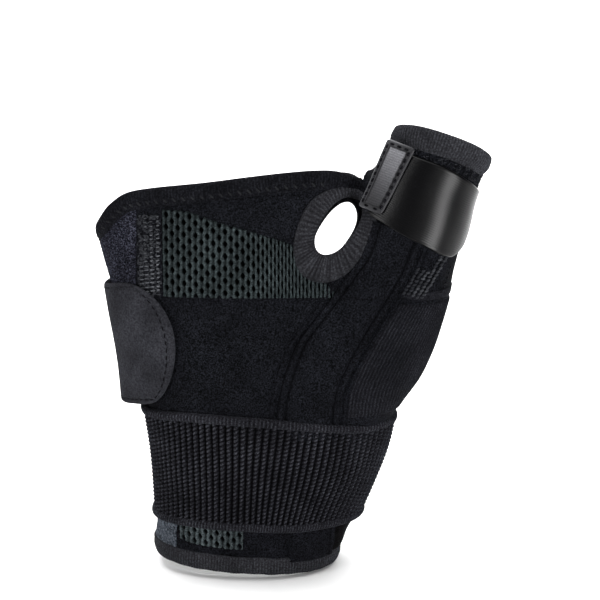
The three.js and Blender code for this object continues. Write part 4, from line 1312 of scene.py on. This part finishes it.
def backdrop():
    """A pale floor that curves up into a wall. It ends FLOOR_FRONT before the part, because nearer
    ground would show in the thumb strap's shine."""
    material, tree, shader = new_material("floor")
    look = {"Base Color": (0.95, 0.95, 0.95, 1), "Roughness": 0.9, "Specular IOR Level": 0.1}
    set_inputs(tree, shader, look)
    bend = np.linspace(0, np.pi / 2, 12)
    back, radius, top, half_width = 500, 300, 1600, 1500.0
    curve = np.stack([back + radius * np.sin(bend), FLOOR_HEIGHT + radius * (1 - np.cos(bend))], -1)
    run = np.concatenate([[[FLOOR_FRONT, FLOOR_HEIGHT]], curve, [[back + radius, top]]])
    vertices = np.array([[x, y, z] for x in (-half_width, half_width) for y, z in run])
    floor = mesh_object("floor", vertices, grid_faces(2, len(run)), material)


backdrop()

world = bpy.data.worlds.new("studio")
world.use_nodes = True
background = world.node_tree.nodes["Background"]
set_inputs(world.node_tree, background, {"Color": (1, 1, 1, 1), "Strength": 0.26})
bpy.context.scene.world = world


def area(name, place, target, size, power):
    """A rectangular light that shines from place to target."""
    light = bpy.data.lights.new(name, "AREA")
    light.shape = "RECTANGLE"
    light.size, light.size_y = size
    light.energy = power
    obj = bpy.data.objects.new(name, light)
    bpy.context.scene.collection.objects.link(obj)
    obj.location = place
    obj.rotation_euler = (Vector(target) - Vector(place)).to_track_quat("-Z", "Y").to_euler()


# name, place, target, size and power
area("top", (0, 0.1, 1.1), (0.01, 0.0, 0.05), (1.4, 1.4), 14)
area("key", (-0.6, -0.75, 0.6), (0.01, 0, 0.08), (0.6, 0.6), 3)
area("strip", (0.5, -0.72, -0.12), (0.05, 0, 0.12), (0.26, 0.9), 15)
area("low", (-0.75, -0.45, 0.02), (-0.02, 0, 0.04), (0.4, 0.4), 5)
area("wall", (0, 0.3, 0.9), (0, 0.9, 0.3), (1.6, 1.0), 18)

# The camera looks down a little at VIEW_CENTRE (x and z); there one pixel shows 0.36 mm.
MM_PER_PIXEL = 0.36
IMAGE_PIXELS = 600
CAMERA_DISTANCE = 0.52
CAMERA_TILT = math.radians(12)
VIEW_CENTRE = (0.017, 0.096)
camera_data = bpy.data.cameras.new("camera")
camera_data.sensor_width = 36
camera_data.lens = CAMERA_DISTANCE * 1000 / MM_PER_PIXEL / IMAGE_PIXELS * camera_data.sensor_width
camera = bpy.data.objects.new("camera", camera_data)
bpy.context.scene.collection.objects.link(camera)
rise = CAMERA_DISTANCE * math.sin(CAMERA_TILT)
camera.location = (VIEW_CENTRE[0], -CAMERA_DISTANCE * math.cos(CAMERA_TILT), VIEW_CENTRE[1] + rise)
camera.rotation_euler = (math.radians(90) - CAMERA_TILT, 0, 0)
bpy.context.scene.camera = camera
bpy.context.scene.view_settings.view_transform = "Standard"
